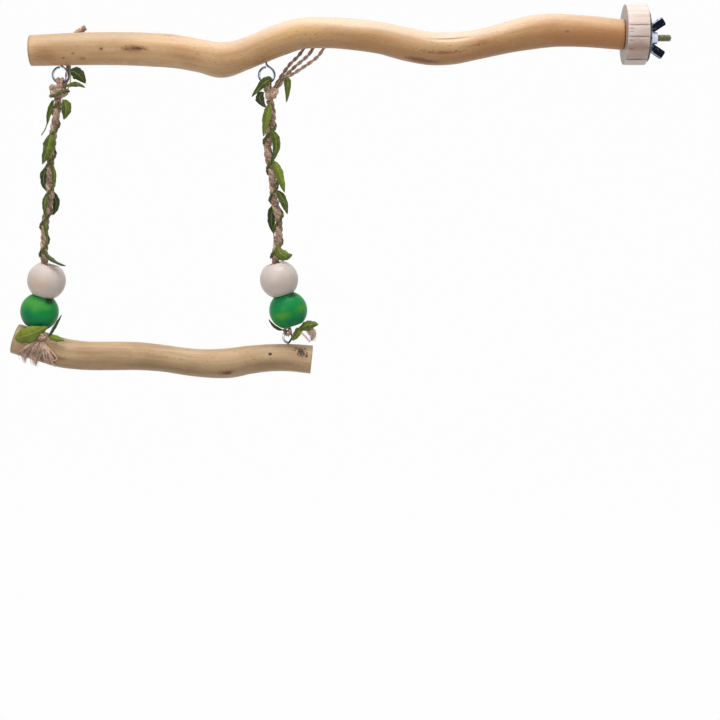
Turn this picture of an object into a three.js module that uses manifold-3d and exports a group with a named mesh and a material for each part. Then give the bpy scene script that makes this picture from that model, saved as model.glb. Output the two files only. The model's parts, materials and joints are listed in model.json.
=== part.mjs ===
// Clamp-on perch for parrots: a crooked branch on a hanger bolt, with a swing hung below its free end.
// Millimetres, +Z up. The origin is the point where the bolt leaves the clamp disc's outer face, which
// bears on the cage wires, and +X runs outwards along the bolt. The branch reaches away along -X.
import * as THREE from "three";
import { mergeVertices } from "three/addons/utils/BufferGeometryUtils.js";
import Module from "manifold-3d";

const wasm = await Module();
wasm.setup();

// Clearances
const TOUCH_GAP = 0.3; // between pieces that bear on each other
const BORE_GAP = 0.3; // around a shank or bolt in its bore
const LOOP_GAP = 0.5; // around a ring's wire inside a cord loop
const STRING_GAP = 0.75; // between a cord and the leaf string wound round it

// Hanger bolt
const BOLT_RADIUS = 2;
const BOLT_OUTSIDE = 14; // from the disc's outer face to the tip
const BOLT_IN_WOOD = 20;
const BOLT_TIP = 0.6; // chamfer on the machine-thread end
const BOLT_POINT = 4; // length of the wood-thread end's point

// Clamp disc, washer and wing nut
const DISC_RADIUS = 16.5;
const DISC_THICKNESS = 12;
const DISC_RISE = 2; // the hole is drilled this far below the disc's centre
const DISC_ROUND = 0.6; // rounding of both rims
const WASHER_RADIUS = 14;
const WASHER_THICKNESS = 1;
const WASHER_HOLE_RADIUS = 3.4;
const WASHER_RISE = 1; // where the loose washer was nipped up
const NUT_FOOT_RADIUS = 4.5;
const NUT_NECK_RADIUS = 3.3;
const NUT_HEIGHT = 4.8;
const WING_LENGTH = 8.0;
const WING_WIDTH = 4.4;
const WING_THICKNESS = 2.2;
const WING_LEAN = 33; // degrees from the bolt's axis
const WING_ROOT = 5.4; // where the wing's middle leaves the hub, from the axis
const WING_ROUND = 1.2;

// Branch: share of its length from the disc, height of its axis, girth against the mean radius
const BRANCH_LENGTH = 326.3;
const BRANCH_RADIUS = 8.7;
const BRANCH_STATIONS = [
  [0.0, 1.8, 0.93],
  [0.066, 3.7, 0.98],
  [0.118, 4.3, 1.04],
  [0.158, 3.0, 1.05],
  [0.197, 0.2, 0.96],
  [0.246, -3.4, 0.94],
  [0.292, -5.7, 1.02],
  [0.323, -5.7, 1.04],
  [0.36, -3.6, 1.03],
  [0.405, 0.0, 0.99],
  [0.451, 2.0, 0.98],
  [0.506, 3.1, 0.97],
  [0.545, 2.4, 0.96],
  [0.579, -0.9, 0.99],
  [0.612, -5.2, 0.99],
  [0.643, -9.1, 1.01],
  [0.677, -11.6, 1.1],
  [0.71, -9.7, 1.04],
  [0.744, -7.7, 1.03],
  [0.8, -6.2, 1.05],
  [0.893, -5.7, 1.01],
  [1.0, -6.6, 0.98],
];
const BRANCH_BOW = 1.6; // how far the branch wanders to the back, halfway
const BRANCH_SEAT = 20; // over which its end turns square with the disc

// Swing bar: the same, from its left end
const BAR_LENGTH = 167.8;
const BAR_RADIUS = 8.05;
const BAR_LEFT = -352.2;
const BAR_STATIONS = [
  [0.0, 11.3, 1.05],
  [0.07, 7.6, 1.05],
  [0.16, 3.0, 1.04],
  [0.235, 1.5, 1.01],
  [0.32, 1.3, 1.0],
  [0.41, 1.1, 0.98],
  [0.5, -0.2, 0.96],
  [0.585, -2.2, 0.98],
  [0.655, -3.1, 1.01],
  [0.715, -2.9, 1.04],
  [0.79, -0.9, 0.99],
  [0.87, 0.3, 0.96],
  [0.94, 0.1, 0.97],
  [1.0, -0.9, 0.99],
];
const END_EASE = 0.5; // the sawn ends' edges are eased by this

// Screw eyes
const UPPER_RING = 4.22; // radius of the wire's centreline
const UPPER_WIRE = 0.68;
const UPPER_SHANK = 10; // length in the wood
const UPPER_LEFT = -322.3;
const UPPER_RIGHT = -208.5;
const LOWER_RING = 3.3;
const LOWER_WIRE = 0.6;
const LOWER_SHANK = 8;
const LOWER_LEFT = -340.3;
const LOWER_RIGHT = -198;
const LOWER_RIGHT_YAW = 45; // degrees, how far the right eye was left turned

// Hang of the swing
const HANG_DROP = 153.9; // from the upper rings' wires down to the bar's mean axis
const LEFT_TILT = 6.65; // degrees, the left beads and lower eye off the hanger's own lean, towards +X at the top
const RIGHT_TILT = -12; // degrees, the right beads off the hanger's own lean

// Beads
const BEAD_RADIUS = 10.75;
const BEAD_HALF_HEIGHT = 8.9;
const BEAD_BORE = 5;
const BEAD_CHAMFER = 0.4;
const LEFT_BEAD_LIFT = 1.5; // the left stack's clearance over the bar
const RIGHT_BEAD_SHIFT = 2.9; // the right stack's foot, from the lower ring's top
const RIGHT_BEAD_LIFT = 3.3;

// Cords
const CORD_RADIUS = 1.4;
const LOOP_CORD = 1.0; // radius of the cord where it loops round a ring
const GARLAND_RADIUS = 0.55;
const GARLAND_PITCH = 16; // one turn of the leaf string, which is also its leaf spacing
const GARLAND_FROM = 1.5; // below the top knot
const GARLAND_LENGTH = 86.5;
const LEFT_KNOT = [5.2, 4.4, 3.8];
const LEFT_KNOT_AT = [-1.3, 0, -5.0];
const RIGHT_KNOT = [4.0, 3.8, 4.2];
const RIGHT_KNOT_AT = [1.4, 0, -5.4];
const RIGHT_FOOT_KNOT = [4.0, 3.6, 2.3];
const LEFT_FOOT_KNOT = [3.0, 2.4, 2.6];
// Wander of each cord's route off the straight line between its ends: share of the way down, offset
const LEFT_WANDER = [
  [0.0, 0.0],
  [0.09, -0.4],
  [0.14, -1.1],
  [0.2, -1.2],
  [0.28, -1.35],
  [0.34, -1.0],
  [0.4, -0.5],
  [0.45, 0.3],
  [0.49, 0.0],
  [0.545, -1.1],
  [0.6, -1.2],
  [0.66, -0.95],
  [0.72, -0.5],
  [0.776, 0.4],
  [0.89, 0.2],
  [1.0, 0.0],
];
const RIGHT_WANDER = [
  [0.0, 0.0],
  [0.04, 0.5],
  [0.08, 0.5],
  [0.12, -1.0],
  [0.18, -2.8],
  [0.24, -3.4],
  [0.31, -2.2],
  [0.375, -1.9],
  [0.44, -2.0],
  [0.49, -0.6],
  [0.545, -0.4],
  [0.605, -1.2],
  [0.655, -2.9],
  [0.7, -4.0],
  [0.73, -4.1],
  [0.86, -2.2],
  [1.0, 0.0],
];

// Leaves
const LEAF_THICKNESS = 0.5;
const STEM_WIDTH = 0.9;

// Finishes
const BRANCH_WOOD = finish(0xd2a468, 0.72, 0);
const BAR_WOOD = finish(0xbd996c, 0.74, 0);
const DISC_WOOD = finish(0xd8bfa8, 0.76, 0);
const WHITE_WOOD = finish(0xcfc1b4, 0.6, 0);
const GREEN_WOOD = finish(0x1c8a4b, 0.5, 0);
const ZINC = finish(0xa9adb4, 0.35, 0.9);
const DARK_ZINC = finish(0x3a4250, 0.42, 0.9);
const YELLOW_ZINC = finish(0x8c8f5c, 0.4, 0.9);
const JUTE = finish(0xa08468, 0.95, 0);
const VINE = finish(0x4d6130, 0.85, 0);
const LEAF_DARK = finish(0x3f5a22, 0.85, 0);
const LEAF_LIGHT = finish(0x6f9038, 0.85, 0);

function finish(color, roughness, metalness) {
  return new THREE.MeshStandardMaterial({ color, roughness, metalness });
}

const vec = (x, y, z) => new THREE.Vector3(x, y, z);
const radians = THREE.MathUtils.degToRad;

// Geometry helpers

// One closed skin of shared vertices, turned so that its faces point out.
function closed(geometry) {
  const bare = geometry.clone();
  bare.deleteAttribute("normal");
  bare.deleteAttribute("uv");
  const merged = mergeVertices(bare, 1e-4);
  const p = merged.attributes.position;
  const index = Array.from(merged.index.array);
  const [a, b, c] = [vec(0, 0, 0), vec(0, 0, 0), vec(0, 0, 0)];
  let volume = 0;
  for (let i = 0; i < index.length; i += 3) {
    a.fromBufferAttribute(p, index[i]);
    b.fromBufferAttribute(p, index[i + 1]);
    c.fromBufferAttribute(p, index[i + 2]);
    volume += a.dot(b.cross(c));
  }
  if (volume < 0) index.reverse();
  merged.setIndex(index);
  return merged;
}

// Skin over a row of rings with the same number of points: capped at both ends, or joined end to start.
function loft(rings, looped = false) {
  const count = rings[0].length;
  const points = rings.flat();
  const index = [];
  const bands = looped ? rings.length : rings.length - 1;
  for (let i = 0; i < bands; i++) {
    const next = (i + 1) % rings.length;
    for (let j = 0; j < count; j++) {
      const k = (j + 1) % count;
      const [a, b] = [i * count + j, i * count + k];
      const [c, d] = [next * count + j, next * count + k];
      index.push(a, b, c, b, d, c);
    }
  }
  if (!looped) {
    const last = (rings.length - 1) * count;
    for (let j = 1; j < count - 1; j++) {
      index.push(0, j + 1, j);
      index.push(last, last + j, last + j + 1);
    }
  }
  const geometry = new THREE.BufferGeometry().setFromPoints(points);
  geometry.setIndex(index);
  return closed(geometry);
}

// Circle of points about the X axis through height z, facing along X.
function circleX(x, z, radius, count) {
  return Array.from({ length: count }, (_, j) => {
    const angle = (2 * Math.PI * j) / count;
    return vec(x, radius * Math.sin(angle), z + radius * Math.cos(angle));
  });
}

// Tube of an even polygon section along a curve.
function tube(curve, radius, sides, steps) {
  const section = new THREE.Shape();
  section.absarc(0, 0, radius, 0, 2 * Math.PI, false);
  const options = { steps, bevelEnabled: false, extrudePath: curve, curveSegments: sides / 2 };
  return closed(new THREE.ExtrudeGeometry(section, options));
}

function solid(geometry) {
  const skin = closed(geometry);
  const vertProperties = Float32Array.from(skin.attributes.position.array);
  const triVerts = Uint32Array.from(skin.index.array);
  return new wasm.Manifold(new wasm.Mesh({ numProp: 3, vertProperties, triVerts }));
}

function skin(manifold) {
  const mesh = manifold.getMesh();
  const geometry = new THREE.BufferGeometry();
  geometry.setAttribute("position", new THREE.BufferAttribute(mesh.vertProperties, 3));
  geometry.setIndex(new THREE.BufferAttribute(mesh.triVerts, 1));
  return geometry;
}

const cut = (body, ...tools) => skin(tools.reduce((left, tool) => left.subtract(solid(tool)), solid(body)));
const join = (body, ...others) => skin(others.reduce((left, other) => left.add(solid(other)), solid(body)));

// Rod between two points.
function rod(from, to, radius, sides) {
  const along = to.clone().sub(from);
  const geometry = new THREE.CylinderGeometry(radius, radius, along.length(), sides);
  geometry.applyQuaternion(new THREE.Quaternion().setFromUnitVectors(vec(0, 1, 0), along.clone().normalize()));
  const middle = from.clone().add(to).multiplyScalar(0.5);
  return geometry.translate(middle.x, middle.y, middle.z);
}

// Values between the rows of a table, by a smooth curve through them.
function smooth(table) {
  const spread = 300; // stretches the shares to about millimetres, so that the curve doesn't kink
  const curve = new THREE.CatmullRomCurve3(table.map(([s, a, b = 0]) => vec(s * spread, a, b)));
  const samples = curve.getPoints(table.length * 12);
  return (share) => {
    const s = share * spread;
    let i = 1;
    while (i < samples.length - 1 && samples[i].x < s) i++;
    const [p, q] = [samples[i - 1], samples[i]];
    const t = THREE.MathUtils.clamp((s - p.x) / (q.x - p.x), 0, 1);
    return [THREE.MathUtils.lerp(p.y, q.y, t), THREE.MathUtils.lerp(p.z, q.z, t)];
  };
}

// Sticks: round wood along a crooked axis in the XZ plane

class Stick {
  constructor(start, length, radius, level, bow, seat, stations) {
    Object.assign(this, { start, length, radius, level, bow, seat, at: smooth(stations) });
  }
  axis(x) {
    const share = (x - this.start) / this.length;
    const [height] = this.at(share);
    return vec(x, this.bow * Math.sin(Math.PI * share), this.level + height);
  }
  girth(x) {
    const [, girth] = this.at((x - this.start) / this.length);
    return girth * this.radius;
  }
  slope(x) {
    const step = this.length > 0 ? 1 : -1;
    const rise = this.axis(x + step).z - this.axis(x - step).z;
    return rise / (2 * step);
  }
  // The start is sawn square with the X axis if it has a seat, or else square with the wood.
  lean(x) {
    const settled = this.seat ? THREE.MathUtils.clamp(Math.abs(x - this.start) / this.seat, 0, 1) : 1;
    return settled * Math.atan(this.slope(x));
  }
  // Height of the wood's surface above (+1) or below (-1) the axis at x.
  surface(x, side) {
    const across = this.girth(x) * Math.hypot(1, this.slope(x));
    return this.axis(x).z + side * across;
  }
  ring(x, shrink, sides) {
    const lean = this.lean(x);
    const up = vec(-Math.sin(lean), 0, Math.cos(lean));
    const centre = this.axis(x);
    const radius = this.girth(x) - shrink;
    return Array.from({ length: sides }, (_, j) => {
      const angle = (2 * Math.PI * j) / sides;
      const out = up.clone().multiplyScalar(radius * Math.cos(angle));
      return centre.clone().add(out).add(vec(0, radius * Math.sin(angle), 0));
    });
  }
  body(sides, steps) {
    const rings = [this.ring(this.start, END_EASE, sides)];
    const ease = END_EASE * Math.sign(this.length);
    const run = this.length - 2 * ease;
    for (let i = 0; i <= steps; i++) rings.push(this.ring(this.start + ease + (run * i) / steps, 0, sides));
    rings.push(this.ring(this.start + this.length, END_EASE, sides));
    return loft(rings);
  }
}

const branchStart = -DISC_THICKNESS - TOUCH_GAP;
const branchSize = [-BRANCH_LENGTH, BRANCH_RADIUS];
const branch = new Stick(branchStart, ...branchSize, 0, BRANCH_BOW, BRANCH_SEAT, BRANCH_STATIONS);

// Both upper rings seat under the branch, and the wires the swing turns on lie level.
const upperOuter = UPPER_RING + UPPER_WIRE;
const lowestUnderside = Math.min(branch.surface(UPPER_LEFT, -1), branch.surface(UPPER_RIGHT, -1));
const upperRingZ = lowestUnderside - TOUCH_GAP - upperOuter;
const turnZ = upperRingZ - UPPER_RING;
const barLevel = turnZ - HANG_DROP;
const bar = new Stick(BAR_LEFT, BAR_LENGTH, BAR_RADIUS, barLevel, 0, 0, BAR_STATIONS);

// Clamp

function hangerBolt() {
  const inner = branchStart - BOLT_IN_WOOD;
  const profile = [
    [0, inner],
    [BOLT_RADIUS * 0.25, inner],
    [BOLT_RADIUS, inner + BOLT_POINT],
    [BOLT_RADIUS, BOLT_OUTSIDE - BOLT_TIP],
    [BOLT_RADIUS - BOLT_TIP, BOLT_OUTSIDE],
    [0, BOLT_OUTSIDE],
  ];
  const points = profile.map(([r, x]) => new THREE.Vector2(r, x));
  return closed(new THREE.LatheGeometry(points, 16).rotateZ(-Math.PI / 2));
}

function clampDisc() {
  const sides = 40;
  const hole = BOLT_RADIUS + BORE_GAP;
  const bare = WASHER_RADIUS + DISC_RISE - WASHER_RISE + TOUCH_GAP; // beyond the washer's reach
  const circles = [circleX(0, 0, hole, sides), circleX(0, DISC_RISE, bare, sides)];
  for (const [face, inward] of [
    [0, -1],
    [-DISC_THICKNESS, 1],
  ]) {
    const rim = [0, 0.5, 1].map((share) => {
      const angle = (share * Math.PI) / 2;
      const x = face + inward * DISC_ROUND * (1 - Math.cos(angle));
      return circleX(x, DISC_RISE, DISC_RADIUS - DISC_ROUND * (1 - Math.sin(angle)), sides);
    });
    circles.push(...(face === 0 ? rim : rim.reverse()));
  }
  circles.push(circleX(-DISC_THICKNESS, 0, hole, sides));
  return loft(circles, true);
}

function washer() {
  const inner = TOUCH_GAP;
  const outer = inner + WASHER_THICKNESS;
  const sides = 40;
  const circles = [
    circleX(inner, WASHER_RISE, WASHER_HOLE_RADIUS, sides),
    circleX(inner, WASHER_RISE, WASHER_RADIUS, sides),
    circleX(outer, WASHER_RISE, WASHER_RADIUS, sides),
    circleX(outer, WASHER_RISE, WASHER_HOLE_RADIUS, sides),
  ];
  return loft(circles, true);
}

function wingNut() {
  const foot = 2 * TOUCH_GAP + WASHER_THICKNESS;
  const profile = [
    [0, foot],
    [NUT_FOOT_RADIUS, foot],
    [NUT_FOOT_RADIUS, foot + NUT_HEIGHT * 0.25],
    [NUT_NECK_RADIUS, foot + NUT_HEIGHT * 0.6],
    [NUT_NECK_RADIUS, foot + NUT_HEIGHT],
    [0, foot + NUT_HEIGHT],
  ];
  const points = profile.map(([r, x]) => new THREE.Vector2(r, x));
  const hub = new THREE.LatheGeometry(points, 24).rotateZ(-Math.PI / 2);
  const wings = [1, -1].map((side) => wing(side, foot));
  const hole = rod(vec(0, 0, 0), vec(BOLT_OUTSIDE, 0, 0), BOLT_RADIUS + BORE_GAP, 24);
  return cut(join(hub, ...wings), hole);
}

// A blade with rounded outer corners, drawn along +X from the hub, then leaned away from the bolt.
function wing(side, foot) {
  const shape = new THREE.Shape();
  const half = WING_WIDTH / 2;
  shape.moveTo(-1.6, -half);
  shape.lineTo(WING_LENGTH - WING_ROUND, -half);
  shape.absarc(WING_LENGTH - WING_ROUND, -half + WING_ROUND, WING_ROUND, -Math.PI / 2, 0, false);
  shape.absarc(WING_LENGTH - WING_ROUND, half - WING_ROUND, WING_ROUND, 0, Math.PI / 2, false);
  shape.lineTo(0.4, half);
  shape.lineTo(-1.6, 0);
  const options = { depth: WING_THICKNESS, bevelEnabled: false, curveSegments: 4 };
  const blade = new THREE.ExtrudeGeometry(shape, options);
  blade.translate(0, 0, -WING_THICKNESS / 2).rotateZ(radians(WING_LEAN));
  blade.translate(foot + half * 0.8, WING_ROOT, 0).rotateX(Math.PI / 2);
  return side > 0 ? blade : blade.rotateX(Math.PI);
}

// Screw eyes: one bent wire, a shank and a ring that stops short of its own neck

function screwEye(ring, wire, shank) {
  const top = ring + wire + TOUCH_GAP + shank;
  const path = [vec(0, 0, top), vec(0, 0, (top + ring) / 2 + 1), vec(0, 0, ring + wire)];
  for (let angle = 64; angle >= -248; angle -= 15.6) {
    path.push(vec(ring * Math.cos(radians(angle)), 0, ring * Math.sin(radians(angle))));
  }
  const curve = new THREE.CatmullRomCurve3(path, false, "centripetal");
  return tube(curve, wire, 8, 30);
}

// The pin that a shank's hole is bored with, from the ring's middle.
const shankHole = (ring, wire, shank) =>
  rod(vec(0, 0, ring), vec(0, 0, ring + wire + 2 * TOUCH_GAP + shank), wire + BORE_GAP, 12);

// Where each eye stands: the ring's middle, its lean in the XZ plane and its yaw, shank up or down.
function eyePlace(x, z, lean, yaw, down) {
  const turn = new THREE.Matrix4().makeRotationY(radians(lean));
  turn.multiply(new THREE.Matrix4().makeRotationZ(radians(yaw)));
  if (down) turn.multiply(new THREE.Matrix4().makeRotationX(Math.PI));
  return turn.premultiply(new THREE.Matrix4().makeTranslation(x, 0, z));
}

const lowerOuter = LOWER_RING + LOWER_WIRE;
const leftSeat = vec(LOWER_LEFT, 0, bar.surface(LOWER_LEFT, 1));
const rightSeat = vec(LOWER_RIGHT, 0, bar.surface(LOWER_RIGHT, 1));
const hangerLean = (top, seat) => (Math.atan2(top - seat.x, turnZ - seat.z) * 180) / Math.PI;
const leftLean = hangerLean(UPPER_LEFT, leftSeat) + LEFT_TILT;
const rightLean = hangerLean(UPPER_RIGHT, rightSeat) + RIGHT_TILT;
const leftUp = vec(Math.sin(radians(leftLean)), 0, Math.cos(radians(leftLean)));
const rightUp = vec(Math.sin(radians(rightLean)), 0, Math.cos(radians(rightLean)));
const lowerLeftRing = leftSeat.clone().addScaledVector(leftUp, lowerOuter + 1.5 * TOUCH_GAP);
const lowerRightRing = rightSeat.clone().add(vec(0, 0, lowerOuter + TOUCH_GAP));

const upperLeftPlace = eyePlace(UPPER_LEFT, upperRingZ, 0, 0, false);
const upperRightPlace = eyePlace(UPPER_RIGHT, upperRingZ, 0, 0, false);
const lowerLeftPlace = eyePlace(lowerLeftRing.x, lowerLeftRing.z, leftLean, 0, true);
const lowerRightPlace = eyePlace(lowerRightRing.x, lowerRightRing.z, 0, LOWER_RIGHT_YAW, true);

function branchBody() {
  const inner = branchStart - BOLT_IN_WOOD - TOUCH_GAP;
  const boltHole = rod(vec(inner, 0, 0), vec(0, 0, 0), BOLT_RADIUS + BORE_GAP, 16);
  const leftHole = shankHole(UPPER_RING, UPPER_WIRE, UPPER_SHANK).applyMatrix4(upperLeftPlace);
  const rightHole = shankHole(UPPER_RING, UPPER_WIRE, UPPER_SHANK + 2).applyMatrix4(upperRightPlace);
  return cut(branch.body(16, 48), boltHole, leftHole, rightHole);
}

function barBody() {
  const leftHole = shankHole(LOWER_RING, LOWER_WIRE, LOWER_SHANK).applyMatrix4(lowerLeftPlace);
  const rightHole = shankHole(LOWER_RING, LOWER_WIRE, LOWER_SHANK).applyMatrix4(lowerRightPlace);
  return cut(bar.body(16, 26), leftHole, rightHole);
}

// Cord hitches: a loop round a ring's wire, with a knot drawn up against it

function ball(centre, [a, b, c]) {
  return new THREE.SphereGeometry(1, 16, 10).scale(a, b, c).translate(centre.x, centre.y, centre.z);
}

// A loop about a wire that runs along the given direction.
function wireLoop(centre, along, wire) {
  const hole = wire + LOOP_GAP;
  const loop = new THREE.TorusGeometry(hole + LOOP_CORD, LOOP_CORD, 8, 18);
  loop.applyQuaternion(new THREE.Quaternion().setFromUnitVectors(vec(0, 0, 1), along));
  return loop.translate(centre.x, centre.y, centre.z);
}

const loopReach = (wire) => wire + LOOP_GAP + 2 * LOOP_CORD;
const offset = (point, [x, y, z]) => point.clone().add(vec(x, y, z));

const leftTurn = vec(UPPER_LEFT - 0.3, 0, turnZ);
const rightTurn = vec(UPPER_RIGHT + 0.3, 0, turnZ);
const leftKnotCentre = offset(leftTurn, LEFT_KNOT_AT);
const rightKnotCentre = offset(rightTurn, RIGHT_KNOT_AT);
const leftFoot = lowerLeftRing.clone().addScaledVector(leftUp, LOWER_RING);
const rightFoot = lowerRightRing.clone().add(vec(0, 0, LOWER_RING));
const rightWireRun = vec(Math.cos(radians(LOWER_RIGHT_YAW)), Math.sin(radians(LOWER_RIGHT_YAW)), 0);
const leftWireRun = vec(leftUp.z, 0, -leftUp.x);

// The right stack of beads stands on the foot knot.
const rightStackFoot = rightFoot.clone().add(vec(RIGHT_BEAD_SHIFT, 0, RIGHT_BEAD_LIFT));
const footKnotDrop = RIGHT_FOOT_KNOT[2] + TOUCH_GAP;
const rightFootKnotCentre = rightStackFoot.clone().addScaledVector(rightUp, -footKnotDrop).add(vec(1.2, 0, 0));

const topHitch = (turn, centre, size) => join(wireLoop(turn, vec(1, 0, 0), UPPER_WIRE), ball(centre, size));

function rightFootHitch() {
  const loop = wireLoop(rightFoot, rightWireRun, LOWER_WIRE);
  const knot = ball(vec(0, 0, 0), RIGHT_FOOT_KNOT).rotateY(radians(rightLean));
  knot.translate(rightFootKnotCentre.x, rightFootKnotCentre.y, rightFootKnotCentre.z);
  const clearance = new THREE.TorusGeometry(LOWER_RING, LOWER_WIRE + LOOP_GAP + TOUCH_GAP, 10, 28);
  clearance.rotateX(Math.PI / 2).applyMatrix4(lowerRightPlace);
  return join(loop, cut(knot, clearance));
}

// Cord routes: straight from knot to loop, with the wander added

class Hanger {
  constructor(top, bottom, wander) {
    this.top = top;
    this.bottom = bottom;
    this.offsetAt = smooth(wander);
  }
  point(share) {
    const [aside] = this.offsetAt(share);
    return this.top.clone().lerp(this.bottom, share).add(vec(aside, 0, 0));
  }
  curve(from, to, count, shift = () => vec(0, 0, 0)) {
    const points = Array.from({ length: count + 1 }, (_, i) => {
      const share = THREE.MathUtils.lerp(from, to, i / count);
      return this.point(share).add(shift(share));
    });
    return new THREE.CatmullRomCurve3(points, false, "centripetal");
  }
  // The leaf string winds round the cord, at the front once a turn.
  string(share) {
    const down = (this.top.z - this.bottom.z) * share - GARLAND_FROM;
    const angle = (2 * Math.PI * (down - 1)) / GARLAND_PITCH;
    return vec(-Math.sin(angle), -Math.cos(angle), 0);
  }
  shareAt(z) {
    return (this.top.z - z) / (this.top.z - this.bottom.z);
  }
}

const stringReach = CORD_RADIUS + STRING_GAP + GARLAND_RADIUS;
const under = (centre, size) => vec(centre.x, 0, centre.z - size[2] - TOUCH_GAP);
const leftCordEnd = leftFoot.clone().addScaledVector(leftUp, loopReach(LOWER_WIRE) + TOUCH_GAP);
const rightCordEnd = rightFoot.clone().add(vec(0, 0, loopReach(LOWER_WIRE) + TOUCH_GAP));
const leftHanger = new Hanger(under(leftKnotCentre, LEFT_KNOT), leftCordEnd, LEFT_WANDER);
const rightHanger = new Hanger(under(rightKnotCentre, RIGHT_KNOT), rightCordEnd, RIGHT_WANDER);

const cordTube = (hanger) => tube(hanger.curve(0, 1, 26), CORD_RADIUS, 8, 24);

function stringTube(hanger) {
  const from = hanger.shareAt(hanger.top.z - GARLAND_FROM);
  const to = hanger.shareAt(hanger.top.z - GARLAND_FROM - GARLAND_LENGTH);
  const around = (share) => hanger.string(share).multiplyScalar(stringReach);
  const steps = Math.round((GARLAND_LENGTH / GARLAND_PITCH) * 9);
  return tube(hanger.curve(from, to, steps, around), GARLAND_RADIUS, 8, steps);
}

// Beads

function bead(centre, lean) {
  const arc = 7;
  const rimRadius = Math.sqrt(BEAD_RADIUS ** 2 - BEAD_HALF_HEIGHT ** 2);
  const flat = Math.max(rimRadius, BEAD_BORE + BEAD_CHAMFER + 0.05);
  const tilt = Math.atan2(BEAD_HALF_HEIGHT, flat);
  const profile = [];
  for (let i = 0; i <= arc; i++) {
    const angle = tilt - (2 * tilt * i) / arc;
    profile.push(new THREE.Vector2(BEAD_RADIUS * Math.cos(angle), BEAD_RADIUS * Math.sin(angle)));
  }
  profile.push(new THREE.Vector2(BEAD_BORE + BEAD_CHAMFER, -BEAD_HALF_HEIGHT));
  profile.push(new THREE.Vector2(BEAD_BORE, -BEAD_HALF_HEIGHT + BEAD_CHAMFER));
  profile.push(new THREE.Vector2(BEAD_BORE, BEAD_HALF_HEIGHT - BEAD_CHAMFER));
  profile.push(new THREE.Vector2(BEAD_BORE + BEAD_CHAMFER, BEAD_HALF_HEIGHT));
  profile.push(profile[0].clone());
  const turned = new THREE.LatheGeometry(profile, 22).rotateX(Math.PI / 2).rotateY(radians(lean));
  return closed(turned.translate(centre.x, centre.y, centre.z));
}

const beadStep = 2 * BEAD_HALF_HEIGHT + TOUCH_GAP;
const leftLower = leftSeat.clone().addScaledVector(leftUp, BEAD_HALF_HEIGHT + LEFT_BEAD_LIFT);
const leftUpper = leftLower.clone().addScaledVector(leftUp, beadStep);
const rightLower = rightStackFoot.clone().addScaledVector(rightUp, BEAD_HALF_HEIGHT);
const rightUpper = rightLower.clone().addScaledVector(rightUp, beadStep);

// Leaves: a thin blade on a bent midrib, narrow at the stem and pointed at the tip

function leaf({ from, via, to, width, face, curl = 0.25, twist = 0, stem = 0.12 }) {
  const rows = 8;
  const midrib = new THREE.QuadraticBezierCurve3(from, via, to);
  const rings = [];
  for (let i = 0; i <= rows; i++) {
    const t = i / rows;
    const along = midrib.getTangent(t);
    const side = along.clone().cross(face).normalize();
    side.applyAxisAngle(along, radians(twist * t));
    const up = side.clone().cross(along).normalize();
    const blade = THREE.MathUtils.clamp((t - stem) / (1 - stem), 0, 1);
    const swell = Math.sin(Math.PI * blade ** 0.8);
    const half = (STEM_WIDTH * (1 - 0.5 * t) + (width - STEM_WIDTH) * swell) / 2;
    const centre = midrib.getPoint(t);
    const at = (s, thick) =>
      centre
        .clone()
        .addScaledVector(side, s * half)
        .addScaledVector(up, thick - curl * half * s * s);
    const [mid, edge] = [LEAF_THICKNESS / 2, LEAF_THICKNESS / 4];
    rings.push([at(-1, edge), at(0, mid), at(1, edge), at(1, -edge), at(0, -mid), at(-1, -edge)]);
  }
  return loft(rings);
}

// A leaf that grows from the string at height z.
function stringLeaf(hanger, z, via, to, width, more = {}) {
  const share = hanger.shareAt(z);
  const out = hanger.string(share);
  const reach = stringReach + GARLAND_RADIUS + TOUCH_GAP + LEAF_THICKNESS / 2;
  const from = hanger.point(share).addScaledVector(out, reach);
  const at = (p) => vec(from.x + p[0], from.y + p[1], from.z + p[2]);
  return leaf({ from, via: at(via), to: at(to), width, face: out, ...more });
}

// A leaf that grows from a knot, by offsets from the knot's centre.
function knotLeaf(centre, from, via, to, width, face, more = {}) {
  const ends = { from: offset(centre, from), via: offset(centre, via), to: offset(centre, to) };
  return leaf({ ...ends, width, face: vec(...face).normalize(), ...more });
}

// Tails: the cords' loose ends

function tail(points, radii, sides = 8) {
  const curve = new THREE.CatmullRomCurve3(points, false, "centripetal");
  const steps = 3 * (points.length - 1);
  const frames = curve.computeFrenetFrames(steps, false);
  const widths = smooth(radii.map((r, i) => [i / (radii.length - 1), r]));
  const rings = [];
  for (let i = 0; i <= steps; i++) {
    const [radius] = widths(i / steps);
    const centre = curve.getPoint(i / steps);
    const ring = Array.from({ length: sides }, (_, j) => {
      const angle = (2 * Math.PI * j) / sides;
      const out = frames.normals[i].clone().multiplyScalar(radius * Math.cos(angle));
      return out.addScaledVector(frames.binormals[i], radius * Math.sin(angle)).add(centre);
    });
    rings.push(ring);
  }
  return loft(rings);
}

// The frayed end that lies over the bar: a fan of yarn on the wood, wider towards its edge.
function barFringe(x, reach, spread, from, to, thickness) {
  const [rows, columns] = [6, 5];
  const rings = [];
  for (let i = 0; i <= rows; i++) {
    const t = i / rows;
    const angle = radians(THREE.MathUtils.lerp(from, to, t));
    const centre = x + reach * t;
    const half = THREE.MathUtils.lerp(1.2, spread, t ** 0.8);
    const layer = (lift, j) => {
      const px = centre + half * (2 * (j / columns) - 1);
      const axis = bar.axis(px);
      const radius = bar.girth(px) + TOUCH_GAP + lift;
      return vec(px, axis.y - radius * Math.sin(angle), axis.z + radius * Math.cos(angle));
    };
    const low = Array.from({ length: columns + 1 }, (_, j) => layer(0, j));
    const high = Array.from({ length: columns + 1 }, (_, j) => layer(thickness, columns - j));
    rings.push([...low, ...high]);
  }
  return loft(rings);
}

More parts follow.
